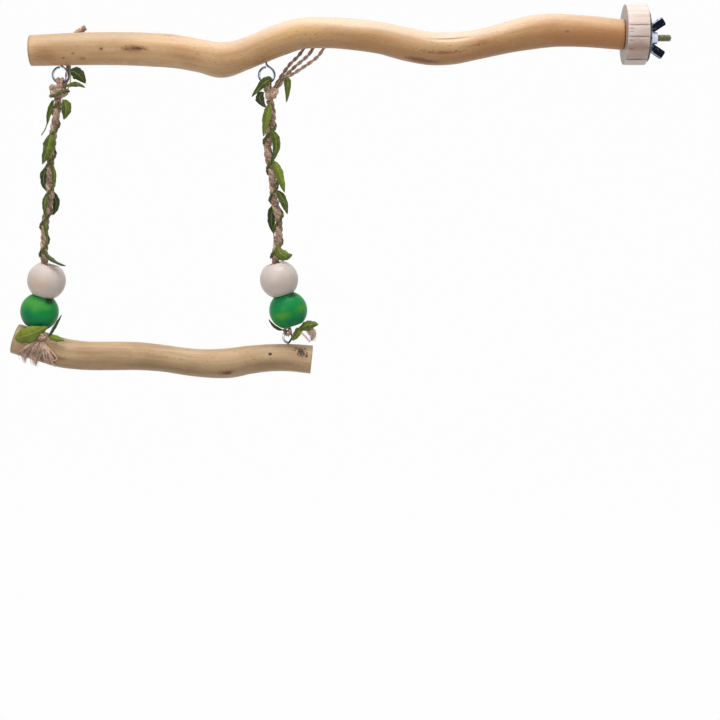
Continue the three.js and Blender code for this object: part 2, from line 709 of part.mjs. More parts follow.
// The knot of the left tail sits on the front shoulder of the bar.
const SHOULDER = 46; // degrees forward of the bar's crest
const leftFootKnotX = leftSeat.x + 5.2;
function onShoulder(x, lift) {
  const centre = bar.axis(x);
  const radius = bar.girth(x) + TOUCH_GAP + lift;
  return offset(centre, [0, -radius * Math.sin(radians(SHOULDER)), radius * Math.cos(radians(SHOULDER))]);
}
const leftFootKnotCentre = onShoulder(leftFootKnotX, LEFT_FOOT_KNOT[1] + 0.4);

// Assembly: one named mesh for each piece

const perch = new THREE.Group();

function add(name, geometry, material) {
  const mesh = new THREE.Mesh(geometry, material);
  mesh.name = name;
  perch.add(mesh);
}

add("perch_branch", branchBody(), BRANCH_WOOD);
add("hanger_bolt", hangerBolt(), YELLOW_ZINC);
add("clamp_disc", clampDisc(), DISC_WOOD);
add("steel_washer", washer(), DARK_ZINC);
add("wing_nut", wingNut(), DARK_ZINC);

const upperEye = () => screwEye(UPPER_RING, UPPER_WIRE, UPPER_SHANK);
const lowerEye = () => screwEye(LOWER_RING, LOWER_WIRE, LOWER_SHANK);
add("branch_eye_left", upperEye().applyMatrix4(upperLeftPlace), ZINC);
add("branch_eye_right", upperEye().applyMatrix4(upperRightPlace), ZINC);
add("bar_eye_left", lowerEye().applyMatrix4(lowerLeftPlace), ZINC);
add("bar_eye_right", lowerEye().applyMatrix4(lowerRightPlace), ZINC);
add("swing_bar", barBody(), BAR_WOOD);

add("left_top_hitch", topHitch(leftTurn, leftKnotCentre, LEFT_KNOT), JUTE);
add("right_top_hitch", topHitch(rightTurn, rightKnotCentre, RIGHT_KNOT), JUTE);
add("left_cord", cordTube(leftHanger), JUTE);
add("right_cord", cordTube(rightHanger), JUTE);
add("left_leaf_string", stringTube(leftHanger), VINE);
add("right_leaf_string", stringTube(rightHanger), VINE);
add("left_foot_loop", wireLoop(leftFoot, leftWireRun, LOWER_WIRE), JUTE);
add("right_foot_hitch", rightFootHitch(), JUTE);
add("left_foot_knot", ball(leftFootKnotCentre, LEFT_FOOT_KNOT), JUTE);

add("left_white_bead", bead(leftUpper, leftLean), WHITE_WOOD);
add("left_green_bead", bead(leftLower, leftLean), GREEN_WOOD);
add("right_white_bead", bead(rightUpper, rightLean), WHITE_WOOD);
add("right_green_bead", bead(rightLower, rightLean), GREEN_WOOD);

// Loose ends at the top run up behind the branch.
function behindBranch(x, height, radius) {
  const axis = branch.axis(x);
  const reach = branch.girth(x) + TOUCH_GAP + radius;
  const angle = Math.asin(THREE.MathUtils.clamp((height - axis.z) / reach, -1, 1));
  return vec(x, axis.y + reach * Math.cos(angle) + 1, height);
}
const leftTail = [
  offset(leftKnotCentre, [2.2, 5.2, 1.6]),
  offset(leftKnotCentre, [3.6, 9.4, 8.0]),
  behindBranch(leftKnotCentre.x + 6.0, -12, 1.6),
  behindBranch(leftKnotCentre.x + 9.0, -3, 1.6),
  behindBranch(leftKnotCentre.x + 12.5, 3.5, 1.6),
  offset(leftKnotCentre, [15.4, 8.6, 35.6]),
];
add("left_top_tail", tail(leftTail, [1.0, 1.3, 1.4, 1.5, 1.6, 0.7]), JUTE);
const tailRuns = [
  [16.2, 21.8, 26.0],
  [21.4, 21.8, 26.0],
  [27.0, 21.4, 25.5],
];
tailRuns.forEach(([across, rise, top], i) => {
  const points = [
    offset(rightKnotCentre, [2.0 + i * 1.5, 3.0 - i * 0.9, 3.5 - i * 0.5]),
    offset(rightKnotCentre, [3.4 + i * 2.6, 4.6 - i * 1.2, 7.0 + i * 0.6]),
    offset(rightKnotCentre, [across * 0.6, 7.0, rise * 0.68 - i * 0.8]),
    offset(rightKnotCentre, [across, 10.0, rise]),
    offset(rightKnotCentre, [across + 2.6, 11.4, top]),
  ];
  add(`right_top_tail_${i + 1}`, tail(points, [0.8, 0.9, 0.9, 0.9, 0.6]), JUTE);
});

// Loose ends at the bottom lie over the bar.
add("left_foot_fringe", barFringe(leftFootKnotX - 1.6, -2.6, 10.6, 66, 140, 1.1), JUTE);
const rightTail = [
  offset(rightFootKnotCentre, [4.3, 0.5, 0.4]),
  offset(rightFootKnotCentre, [7.2, 1.8, -1.4]),
  offset(rightFootKnotCentre, [9.4, 3.2, -4.4]),
  offset(rightFootKnotCentre, [10.8, 4.0, -7.4]),
];
add("right_foot_tail", tail(rightTail, [1.1, 1.7, 2.0, 1.2]), JUTE);

// Leaves of the left side, from the top down.
const front = [0, -1, 0];
const flat = { curl: -0.1 };
const leftLeaves = [
  knotLeaf(leftKnotCentre, [4.6, -2.9, 0.3], [9.6, -8.6, 16.7], [15.2, -2.4, 5.6], 4.7, [-0.3, -1, 0.2], { stem: 0.3 }),
  knotLeaf(leftKnotCentre, [4.0, -2.2, 2.1], [9.5, -4.2, 6.4], [15.6, -4.0, 2.4], 3.4, [0, -1, 0.4]),
  knotLeaf(leftKnotCentre, [2.8, -3.2, -3.0], [6.4, -7.4, -6.5], [3.2, -6.4, -14.2], 5.8, front),
  knotLeaf(leftKnotCentre, [-3.6, 1.6, -3.7], [-5.2, 3.4, -12.0], [-10.2, 3.0, -22.0], 5.0, [1, 0.25, 0]),
  stringLeaf(leftHanger, -52, [0.6, -3.2, -4], [-4.4, -2.6, -16.4], 7.4),
  stringLeaf(leftHanger, -71, [-6.4, 3.4, -6.0], [-1.2, 3.4, -13.0], 5.6),
  stringLeaf(leftHanger, -67, [5.2, -2.6, -7.4], [1.2, -2.4, -16.2], 4.6, { twist: 55 }),
  stringLeaf(leftHanger, -84, [-3.4, -2.6, -4.4], [-1.4, -1.8, -14.4], 3.4),
  stringLeaf(leftHanger, -81, [4.6, -1.6, -6.4], [0.8, -2.4, -15.0], 4.4, { twist: 80 }),
  stringLeaf(leftHanger, -100, [1.6, -2.4, -3.4], [2.0, -1.8, -10.6], 2.8),
  stringLeaf(leftHanger, -116.2, [4.8, -3.4, -4.4], [12.2, -3.4, -9.2], 4.4, { face: vec(0.6, -0.6, 0.8) }),
  knotLeaf(leftFootKnotCentre, [-2.0, -1.9, 2.0], [-6, -3.0, 2.4], [-14.4, -2.2, -3.0], 10.6, [0, -1, 0.1], flat),
  knotLeaf(leftFootKnotCentre, [3.4, -0.2, -0.2], [7.4, -1.8, -1.6], [12.6, -0.8, -5.6], 4.8, [0, -0.8, 0.6]),
  knotLeaf(leftFootKnotCentre, [3.0, 0.4, 2.0], [6.2, 0.8, 5.6], [11.0, 1.0, 11.4], 1.2, front, { curl: 0 }),
];
leftLeaves.forEach((geometry, i) => {
  add(`left_leaf_${i + 1}`, geometry, [2, 4, 11, 12].includes(i) ? LEAF_LIGHT : LEAF_DARK);
});

// Leaves of the right side, from the top down.
const rightLeaves = [
  knotLeaf(rightKnotCentre, [0.4, -3.7, 2.2], [3.0, -7.4, 13.4], [-9.8, -5.2, -2.2], 5.6, front, { stem: 0.25 }),
  knotLeaf(rightKnotCentre, [-4.5, -1.2, -0.6], [-8.4, -3.4, -3.4], [-2.2, -3.6, -7.6], 4.2, [-0.3, -1, 0]),
  knotLeaf(rightKnotCentre, [3.7, -1.6, 2.4], [12.0, -2.4, 16.4], [9.2, -2.6, -5.2], 4.6, front, { stem: 0.4 }),
  stringLeaf(rightHanger, -36.6, [-2.4, -3.2, -4.0], [-3.4, -2.8, -16.6], 5.6),
  stringLeaf(rightHanger, -52, [6.4, -3.0, -3.4], [1.6, -3.0, -15.0], 4.6, { twist: 65 }),
  stringLeaf(rightHanger, -68, [2.2, -3.6, -4.0], [6.4, -2.8, -15.8], 5.8),
  stringLeaf(rightHanger, -84, [3.4, -3.0, -4.0], [5.4, -2.4, -12.8], 5.0),
  stringLeaf(rightHanger, -92, [-7.4, 1.6, -7.4], [-2.6, 1.6, -14.4], 4.2),
  stringLeaf(rightHanger, -116, [2.8, -2.8, -3.2], [7.8, -1.4, -3.6], 5.0, { stem: 0 }),
  knotLeaf(rightFootKnotCentre, [3.6, -2.4, 1.6], [8.0, -3.6, 4.6], [13.6, -2.6, 2.6], 5.0, [0, -0.8, 0.5]),
  knotLeaf(rightFootKnotCentre, [1.0, -3.9, -0.8], [1.8, -5.4, -1.4], [3.4, -4.6, -4.0], 3.2, front, { stem: 0 }),
  knotLeaf(rightFootKnotCentre, [-6.4, -2.6, -0.4], [-11.4, -3.4, -1.6], [-15.4, -2.4, 4.6], 2.4, [0, -1, 0.4]),
];
rightLeaves.forEach((geometry, i) => {
  add(`right_leaf_${i + 1}`, geometry, [2, 3, 5, 8, 10].includes(i) ? LEAF_LIGHT : LEAF_DARK);
});

export default perch;
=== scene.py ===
"""Clamp-on wooden perch with a hanging swing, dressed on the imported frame.

Tables and shapes are in millimetres, in the frame's axes: X along the perch, Y away from the viewer,
Z up. The meshes are written in metres.
"""
import json
import bpy
import numpy as np
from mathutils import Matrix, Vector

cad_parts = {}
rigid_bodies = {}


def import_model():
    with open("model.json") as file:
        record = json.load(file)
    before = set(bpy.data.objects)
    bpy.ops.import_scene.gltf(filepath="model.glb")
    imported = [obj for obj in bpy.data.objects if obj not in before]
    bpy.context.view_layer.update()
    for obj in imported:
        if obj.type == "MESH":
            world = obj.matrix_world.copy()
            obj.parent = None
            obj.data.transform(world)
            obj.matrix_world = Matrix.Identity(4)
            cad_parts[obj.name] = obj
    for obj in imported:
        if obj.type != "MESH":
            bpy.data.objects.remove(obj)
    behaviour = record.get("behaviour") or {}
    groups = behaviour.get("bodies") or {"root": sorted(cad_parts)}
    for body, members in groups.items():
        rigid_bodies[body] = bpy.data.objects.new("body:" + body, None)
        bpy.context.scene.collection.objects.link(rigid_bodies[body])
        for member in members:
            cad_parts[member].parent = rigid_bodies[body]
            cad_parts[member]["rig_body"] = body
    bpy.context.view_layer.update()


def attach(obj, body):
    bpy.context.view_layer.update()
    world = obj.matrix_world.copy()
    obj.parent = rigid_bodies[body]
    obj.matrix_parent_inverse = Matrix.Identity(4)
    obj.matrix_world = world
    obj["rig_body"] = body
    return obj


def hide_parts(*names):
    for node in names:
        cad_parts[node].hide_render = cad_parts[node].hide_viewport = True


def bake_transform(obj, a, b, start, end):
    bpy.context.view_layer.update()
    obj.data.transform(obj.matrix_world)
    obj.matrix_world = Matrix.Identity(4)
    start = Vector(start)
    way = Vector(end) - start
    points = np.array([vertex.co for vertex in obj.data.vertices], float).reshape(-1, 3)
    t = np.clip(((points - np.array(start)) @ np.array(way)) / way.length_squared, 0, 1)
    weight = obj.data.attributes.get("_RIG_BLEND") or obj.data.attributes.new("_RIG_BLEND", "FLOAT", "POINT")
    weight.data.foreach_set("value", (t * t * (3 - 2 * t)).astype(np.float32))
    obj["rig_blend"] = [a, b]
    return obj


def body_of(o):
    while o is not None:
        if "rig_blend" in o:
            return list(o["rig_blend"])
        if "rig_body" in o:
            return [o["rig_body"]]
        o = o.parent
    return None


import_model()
scene = bpy.context.scene
scene.view_settings.view_transform = "Standard"

MM = 0.001
TURN = 2 * np.pi
ACROSS = np.array((1.0, 0.0, 0.0))
FRONT = np.array((0.0, -1.0, 0.0))
BACK = np.array((0.0, 1.0, 0.0))
UP = np.array((0.0, 0.0, 1.0))
sin, cos, radians = np.sin, np.cos, np.radians

# Camera

lens = bpy.data.cameras.new("camera")
lens.lens = 82.5
lens.sensor_width = 36
camera = bpy.data.objects.new("camera", lens)
camera.location = (-0.157025, -0.923956, -0.034459)
camera.rotation_euler = (radians(81.1), 0, 0)
scene.collection.objects.link(camera)
scene.camera = camera


# Shapes


def unit(vectors):
    """Each vector over its length."""
    return vectors / np.maximum(np.linalg.norm(vectors, axis=-1, keepdims=True), 1e-9)


def joined(*parts):
    """The parts, spread to one shape, side by side along a new last axis."""
    return np.stack(np.broadcast_arrays(*parts), axis=-1)


def around(count):
    """Angles once round, in equal steps."""
    return np.linspace(0, TURN, count, endpoint=False)


def apart(q, degrees):
    """Angles as seen from a direction, from minus to plus half a turn."""
    return (q - radians(degrees) + np.pi) % TURN - np.pi


def circles(x, r, q, middle=(0, 0)):
    """Points on circles about X: (x, y - r sin q, z + r cos q), with y and z of the middle."""
    return joined(x, middle[0] - r * sin(q), middle[1] + r * cos(q))


def leaned(points, degrees):
    """Points turned about Y."""
    c, s = cos(radians(degrees)), sin(radians(degrees))
    return points @ np.array([(c, 0, s), (0, 1, 0), (-s, 0, c)]).T


def smooth(knots, values, at):
    """Cubic pieces through the values at the knots; each slope is the parabola's through three knots."""
    slopes = np.gradient(values, knots, axis=0)
    i = np.clip(np.searchsorted(knots, at, side="right") - 1, 0, len(knots) - 2)
    width = knots[i + 1] - knots[i]
    t = (at - knots[i]) / width
    width, t = width[..., None], t[..., None]
    start = (1 + 2 * t) * (1 - t) ** 2 * values[i] + t * (1 - t) ** 2 * width * slopes[i]
    end = t * t * (3 - 2 * t) * values[i + 1] + t * t * (t - 1) * width * slopes[i + 1]
    return start + end


def distance(line):
    """Distance run along a line of points, from its first point."""
    steps = np.linalg.norm(np.diff(line, axis=-2), axis=-1)
    return np.concatenate([np.zeros(steps.shape[:-1] + (1,)), np.cumsum(steps, axis=-1)], axis=-1)


def along_run(at, run, line):
    """The line's points at the given distances of its run."""
    return np.stack([np.interp(at, run, line[:, i]) for i in range(3)], axis=-1)


def route(points, count):
    """A smooth line through the points, resampled at equal steps of its length."""
    points = np.array(points, float)
    knots = distance(points)
    fine = smooth(knots, points, np.linspace(0, knots[-1], 600))
    run = distance(fine)
    return along_run(np.linspace(0, run[-1], count), run, fine)


def axes(line, guide):
    """Two directions across a line: side is tangent x guide, over is side x tangent."""
    along = unit(np.gradient(line, axis=-2))
    side = unit(np.cross(along, guide))
    return side, np.cross(side, along)


def coat(rings, lay, tint=0.5):
    """Puts place, lay and tint side by side, seven numbers for each point."""
    tint = np.broadcast_to(tint, rings.shape[:-1])
    return np.concatenate([rings, np.broadcast_to(lay, rings.shape), tint[..., None]], axis=-1)


def pipe(line, radius, sides, guide, spin=0.0, seed=0.0, tint=0.5):
    """Round yarn along a line: middle + radius (cos q side + sin q over). Its lay is unrolled and
    turned by spin for each millimetre of run, so that fibres drawn along it lie in a helix."""
    side, over = axes(line, guide)
    q = around(sides)
    radius = np.broadcast_to(radius, line.shape[:-1])[..., None]
    ring = cos(q)[:, None] * side[..., None, :] + sin(q)[:, None] * over[..., None, :]
    run = distance(line)[..., None]
    turned = q + spin * run
    seed, tint = (np.broadcast_to(a, line.shape[:-2])[..., None, None] for a in (seed, tint))
    lay = joined(run, radius * cos(turned) + 9 * seed, radius * sin(turned))
    return coat(line[..., None, :] + radius[..., None] * ring, lay, tint)


def shell(rings, looped=False):
    """Closed skins over rings of points: four-sided faces between rings, and at each end a fan to the
    ring's middle. A looped skin joins its last ring to its first and has no ends."""
    rings = rings.reshape((-1,) + rings.shape[-3:])
    n, k, m, width = rings.shape
    first = (np.arange(n) * k * m)[:, None, None]
    i = np.arange(k if looped else k - 1)[None, :, None] * m
    following = (i + m) % (k * m)
    j = np.arange(m)[None, None, :]
    beside = (j + 1) % m
    corners = [i + j, i + beside, following + beside, following + j]
    quads = np.stack([first + c for c in corners], -1).reshape(-1, 4)
    points = rings.reshape(-1, width)
    if looped:
        return points, [quads]
    ends = np.concatenate([rings[:, 0].mean(1), rings[:, -1].mean(1)])
    j, beside = j[:, 0] + first[:, 0], beside[:, 0] + first[:, 0]
    low = n * k * m + np.arange(n)[:, None]
    last = (k - 1) * m
    fans = [joined(low, beside, j), joined(low + n, j + last, beside + last)]
    return np.concatenate([points, ends]), [quads, np.concatenate([f.reshape(-1, 3) for f in fans])]


def volume(points, faces):
    """Enclosed volume: a sixth of the sum of a . (b x c) over the faces' triangles."""
    total = 0.0
    for corners in faces:
        for i in range(1, corners.shape[1] - 1):
            a, b, c = (points[corners[:, j], :3] for j in (0, i, i + 1))
            total += np.einsum("ij,ij->", a, np.cross(b, c))
    return total / 6


def piece(name, shells, finish, body, nodes=(), sharp=50):
    """A mesh piece in metres from shells, each turned to enclose a positive volume."""
    points, faces, start = [], [], 0
    for skin, corners in shells:
        flip = volume(skin, corners) < 0
        faces += [(f[:, ::-1] if flip else f) + start for f in corners]
        points.append(skin)
        start += len(skin)
    points = np.concatenate(points)
    sizes = np.concatenate([np.full(len(f), f.shape[1]) for f in faces])
    corners = np.concatenate([f.ravel() for f in faces])
    mesh = bpy.data.meshes.new(name)
    mesh.vertices.add(len(points))
    mesh.vertices.foreach_set("co", (points[:, :3] * MM).astype(np.float32).ravel())
    mesh.loops.add(len(corners))
    mesh.loops.foreach_set("vertex_index", corners.astype(np.int32))
    mesh.polygons.add(len(sizes))
    mesh.polygons.foreach_set("loop_start", (np.cumsum(sizes) - sizes).astype(np.int32))
    mesh.update(calc_edges=True)
    lay = mesh.attributes.new("lay", "FLOAT_VECTOR", "POINT")
    lay.data.foreach_set("vector", points[:, 3:6].astype(np.float32).ravel())
    tint = mesh.attributes.new("tint", "FLOAT", "POINT")
    tint.data.foreach_set("value", points[:, 6].astype(np.float32))
    mesh.shade_smooth()
    mesh.set_sharp_from_angle(angle=radians(sharp))
    mesh.materials.append(finish)
    made = bpy.data.objects.new(name, mesh)
    scene.collection.objects.link(made)
    if body:
        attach(made, body)
    if nodes:
        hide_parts(*nodes)
    return made


# Shader helpers

NIL, WHITE, BLACK = (0, 0, 0), (1, 1, 1, 1), (0, 0, 0, 1)


def paint(shade):
    """A screen colour of 0 to 255 as linear light."""
    c = np.array(shade) / 255
    return (*np.where(c <= 0.04045, c / 12.92, ((c + 0.055) / 1.055) ** 2.4), 1.0)


class Value:
    """A shader output that adds, subtracts and multiplies like a number."""

    def __init__(self, socket):
        self.socket, self.tree = socket, socket.id_data

    def __add__(self, other):
        return step("ADD", self, other)

    def __sub__(self, other):
        return step("SUBTRACT", self, other)

    def __rsub__(self, other):
        return step("SUBTRACT", other, self)

    def __mul__(self, other):
        return step("MULTIPLY", self, other)


def outputs(kind, tree=None, **settings):
    """Adds a node, where no tree is given to the tree of its first shader value, and returns its
    outputs. Small-letter settings are its properties, capital ones and i0, i1 its inputs."""
    if tree is None:
        tree = next(value.tree for value in settings.values() if isinstance(value, Value))
    made = tree.nodes.new("ShaderNode" + kind)
    for key, value in settings.items():
        if key[0].islower() and not key[1:].isdigit():
            setattr(made, key, value)
            continue
        socket = made.inputs[int(key[1:]) if key[0] == "i" else key.replace("_", " ")]
        if isinstance(value, Value):
            tree.links.new(value.socket, socket)
        else:
            socket.default_value = value
    return made.outputs


def node(kind, take=0, tree=None, **settings):
    """Adds a node and returns one of its outputs, by name or number."""
    return Value(outputs(kind, tree, **settings)[take])


def step(operation, *values, clamp=False):
    """One arithmetic step."""
    inputs = {f"i{i}": value for i, value in enumerate(values)}
    return node("Math", operation=operation, use_clamp=clamp, **inputs)


def squeezed(vector, x, y=1):
    """A vector scaled along X and Y."""
    return node("Mapping", Vector=vector, Scale=(x, y, 1))


def noise(vector, scale, detail=2.0, rough=0.5):
    return node("TexNoise", Vector=vector, Scale=scale, Detail=detail, Roughness=rough)


def span(value, low, high, start=0.0, end=1.0):
    """Value carried from low..high to start..end, eased and held at both ends."""
    given = dict(Value=value, From_Min=low, From_Max=high, To_Min=start, To_Max=end)
    return node("MapRange", interpolation_type="SMOOTHSTEP", **given)


def blend(share, under, over, how="MIX"):
    return node("Mix", 2, data_type="RGBA", blend_type=how, i0=share, i6=under, i7=over)


def group(name, **inputs):
    """A node group with named inputs and their defaults; returns its tree and the inputs' values."""
    tree = bpy.data.node_groups.new(name, "ShaderNodeTree")
    for label, value in inputs.items():
        kind = {1: "Float", 3: "Vector", 4: "Color"}[np.size(value)]
        made = tree.interface.new_socket(label, in_out="INPUT", socket_type="NodeSocket" + kind)
        made.default_value = value
    given = tree.nodes.new("NodeGroupInput").outputs
    return tree, *(Value(given[label]) for label in inputs)


def give(tree, **values):
    """Gives a node group its outputs."""
    for label in values:
        kind = "NodeSocketColor" if label == "Color" else "NodeSocketFloat"
        tree.interface.new_socket(label, in_out="OUTPUT", socket_type=kind)
    result = tree.nodes.new("NodeGroupOutput").inputs
    for label, value in values.items():
        tree.links.new(value.socket, result[label])


def use(effect, **inputs):
    """Places a node group with its own values and returns its outputs."""
    return [Value(socket) for socket in outputs("Group", node_tree=effect, **inputs)]


def finish(name, **fixed):
    """A new material, its Principled shader with the fixed values set, its lay and its tint."""
    made = bpy.data.materials.new(name)
    made.use_nodes = True
    shader = made.node_tree.nodes["Principled BSDF"]
    for key, value in fixed.items():
        shader.inputs[key.replace("_", " ")].default_value = value
    lay = node("Attribute", "Vector", made.node_tree, attribute_name="lay")
    tint = node("Attribute", "Fac", made.node_tree, attribute_name="tint")
    return made, shader, lay, tint


def dress(made, shader, color, height, roughness, depth):
    """Joins colour, roughness and a bump of that depth to the shader; returns the material."""
    bump = node("Bump", Height=height, Strength=1.0, Distance=depth * MM)
    for label, value in (("Base Color", color), ("Roughness", roughness), ("Normal", bump)):
        made.node_tree.links.new(value.socket, shader.inputs[label])
    return made


# Shared effects

# Wood grain: streaks along the lay's first axis, soft clouds, fine fibres, pores and, where Flecked
# is above 0, brown flecks of bark in patches.
GRAIN, lay, pale, brown, scale, contrast, flecked = group(
    "wood grain", Lay=NIL, Pale=WHITE, Brown=BLACK, Figure=0.35, Contrast=1.0, Flecked=0.0,
)
figure = noise(squeezed(lay, 0.045), scale, 3.0, 0.55)
fibre = noise(squeezed(lay, 0.07), 4.0, 4.0, 0.6)
cloud = noise(squeezed(lay, 0.6), 0.07)
pores = span(noise(squeezed(lay, 0.35), 1.6, 1.0), 0.66, 0.78)
tone = figure * 0.5 + cloud * 0.5 + (fibre - 0.5) * 0.28 - 0.5
tone = step("ADD", span(tone * contrast + 0.5, 0.24, 0.78), pores * 0.3, clamp=True)
flecks = span(noise(squeezed(lay, 0.45), 1.1, 3.0, 0.7), 0.57, 0.66)
patches = span(noise(squeezed(lay, 0.3), 0.16), 0.4, 0.66)
give(
    GRAIN,
    Color=blend(flecks * patches * flecked, blend(tone, pale, brown), (0.5, 0.33, 0.16, 1), "MULTIPLY"),
    Height=fibre * 0.6 + figure * 0.4 - pores * 0.3,
    Roughness=span(fibre, 0.3, 0.7, 0.3, 0.46),
)

# Mark: an ellipsoid in the lay with a ragged rim, for knots, splits and stains and also for patches of
# painted highlight and shade.
SCAR_AND_PAINTED_LIGHT, lay, place, size, ragged, soft = group(
    "scar_and_painted_light", Lay=NIL, Place=NIL, Size=(1, 1, 1), Ragged=0.4, Soft=0.35,
)
off = node("VectorMath", operation="SUBTRACT", i0=lay, i1=place)
off = node("VectorMath", operation="DIVIDE", i0=off, i1=size)
far = node("VectorMath", "Value", operation="LENGTH", i0=off)
far = far + (noise(lay, 1.3, 3.0, 0.6) - 0.5) * (ragged * 2.4)
give(SCAR_AND_PAINTED_LIGHT, Mask=1.0 - span(far, 1.0 - soft, soft + 1.0))

# Twisted yarn: fibres along the lay, lighter or darker in patches and by tint.
YARN, lay, tint, light, dark = group("twisted yarn", Lay=NIL, Tint=0.5, Light=WHITE, Dark=BLACK)
strands = noise(squeezed(lay, 0.16), 4.2, 3.0, 0.65)
tone = strands * 0.9 + noise(squeezed(lay, 0.5), 0.5) * 0.5 + tint * 0.5
give(
    YARN, Color=blend(span(tone, 0.7, 1.2), dark, light), Height=strands,
    Roughness=span(strands, 0.3, 0.7, 0.95, 0.75),
)

# Zinc plate: crystal mottle, dull spots and fine scuffs; its last input lifts it towards Bright, which on the
# wire eyes and the wing nut is painted highlight.
PLATE, place, bright, dull, polish, clean_and_highlight = group(
    "zinc plate", Place=NIL, Bright=WHITE, Dull=BLACK, Polish=0.3, Clean=0.5,
)
scuff = noise(squeezed(place, 1, 0.25), 5200.0, 2.0, 0.7)
tone = noise(place, 900.0, 3.0, 0.6) * 0.7 + scuff * 0.3
give(
    PLATE, Color=blend(span(0.5 - tone + clean_and_highlight, 0.2, 0.8), dull, bright), Height=scuff,
    Roughness=polish + span(tone, 0.35, 0.65, -0.08, 0.16),
)

# Leaf cloth: lay is the share of the length, the share across from -1 to 1, and a number of its own.
LEAF, lay, tint, light, dark, vein = group(
    "printed leaf", Lay=NIL, Tint=0.5, Light=WHITE, Dark=BLACK, Vein=WHITE,
)
u, v, own = (node("SeparateXYZ", axis, Vector=lay) for axis in "XYZ")
wide = step("ABSOLUTE", v)
rib = 1.0 - span(wide, 0.02, 0.13)
wave = step("ABSOLUTE", step("FRACT", u * 9.0 - wide * 3.2) - 0.5)
veins = step("MAXIMUM", rib, (1.0 - span(wave, 0.03, 0.16)) * 0.55)
flat = node("CombineXYZ", X=u * 3.0, Y=v, Z=own * 20)
weave = noise(flat, 22.0)
tone = span(noise(flat, 1.7, 3.0, 0.6) * 0.8 + weave * 0.25 + tint * 0.9, 0.58, 1.3)
lines = step("MAXIMUM", veins, span(wide, 0.84, 0.99) * 0.5)
color = blend(lines * 0.6, blend(tone, dark, light), vein)
# Painted shade: one half of the leaf, from the midrib out, is darkened towards Dark, as on a leaf folded
# along its rib.
give(
    LEAF, Color=blend(span(v, -0.02, 0.1) * 0.42, color, dark), Height=weave * 0.5 - veins,
    Roughness=span(weave, 0.3, 0.7, 0.5, 0.66),
)


# Finishes


def wood(name, pale, brown, marks, figure=0.35, contrast=1.0, depth=0.16, end=0.92, gloss=0.5, flecked=0.0):
    """Bare wood. Marks are rows of place, size, raggedness, softness, colour and strength."""
    made, shader, lay, tint = finish(name, Specular_IOR_Level=gloss)
    given = dict(Pale=paint(pale), Brown=paint(brown), Figure=figure, Contrast=contrast, Flecked=flecked)
    color, height, roughness = use(GRAIN, Lay=lay, **given)
    # The sawn end: tint 1 on the cut, with rings about the pith, in the wood's colours times end; on the
    # clamp disc this darkening is painted shade.
    out = node("VectorMath", operation="MULTIPLY", i0=lay, i1=(0, 1, 1))
    far = node("VectorMath", "Value", operation="LENGTH", i0=out)
    rings = step("SINE", far * 5.5 + noise(lay, 0.5) * 5)
    cut = blend(span(rings, -1, 1), *(paint(end * np.array(shade)) for shade in (pale, brown)))
    color = blend(span(tint, 0.6, 0.9), color, cut)
    for at, size, rag, soft, shade, strength in marks:
        mask = use(SCAR_AND_PAINTED_LIGHT, Lay=lay, Place=at, Size=size, Ragged=rag, Soft=soft)[0] * strength
        color = blend(mask, color, paint(shade))
        height = height - mask * 0.8
    return dress(made, shader, color, height, roughness, depth)


def metal(name, bright, dull, polish):
    """Plated metal; its tint lifts the plate from dull to bright, and on the wire eyes and the wing nut it
    paints highlights.
    """
    made, shader, _, tint = finish(name, Metallic=1.0)
    place = node("TexCoord", "Object", made.node_tree)
    given = dict(Bright=paint(bright), Dull=paint(dull), Polish=polish, Clean=tint)
    return dress(made, shader, *use(PLATE, Place=place, **given), 0.02)


def yarn(name, light, dark):
    made, shader, lay, tint = finish(name, Specular_IOR_Level=0.15, Sheen_Weight=0.25, Sheen_Roughness=0.6)
    return dress(made, shader, *use(YARN, Lay=lay, Tint=tint, Light=paint(light), Dark=paint(dark)), 0.22)


# Round wood


class Stick:
    """Crooked round wood along X, its middle at a level, bowed back, square with X at its seat. Rows
    of its table: share of the length, height of the middle over the level, girth factor. Angles go
    from the crest forward: place = middle + r (cos q up - sin q Y)."""

    def __init__(self, start, length, radius, level, bow, seat, table):
        self.start, self.length, self.radius, self.level = start, length, radius, level
        self.bow, self.seat = bow, seat
        self.table = np.array(table)

    def middle(self, x):
        share = (x - self.start) / self.length
        rise, girth = np.moveaxis(smooth(self.table[:, 0], self.table[:, 1:], share), -1, 0)
        return joined(x, self.bow * sin(np.pi * share), self.level + rise), girth * self.radius

    def slope(self, x):
        return (self.middle(x + 1)[0][..., 2] - self.middle(x - 1)[0][..., 2]) / 2

    def skin(self, x, q, radius):
        """Points at distance radius from the middle, square with the wood or, by the seat, with X."""
        settled = np.clip(np.abs(x - self.start) / self.seat, 0, 1) if self.seat else 1.0
        lean = settled * np.arctan(self.slope(x))
        over = joined(-sin(lean), 0, cos(lean))
        turned = cos(q)[..., None] * over + sin(q)[..., None] * FRONT
        return self.middle(x)[0] + radius[..., None] * turned

    def lay(self, x, q, radius):
        return joined(np.abs(x - self.start), radius * cos(q), radius * sin(q))

    def marks(self, rows):
        """Marks from rows of x, degrees forward from the crest, size, and the rest of a mark's row."""
        return [(self.lay(x, radians(q), self.radius), (a, b, c), *rest) for x, q, a, b, c, *rest in rows]


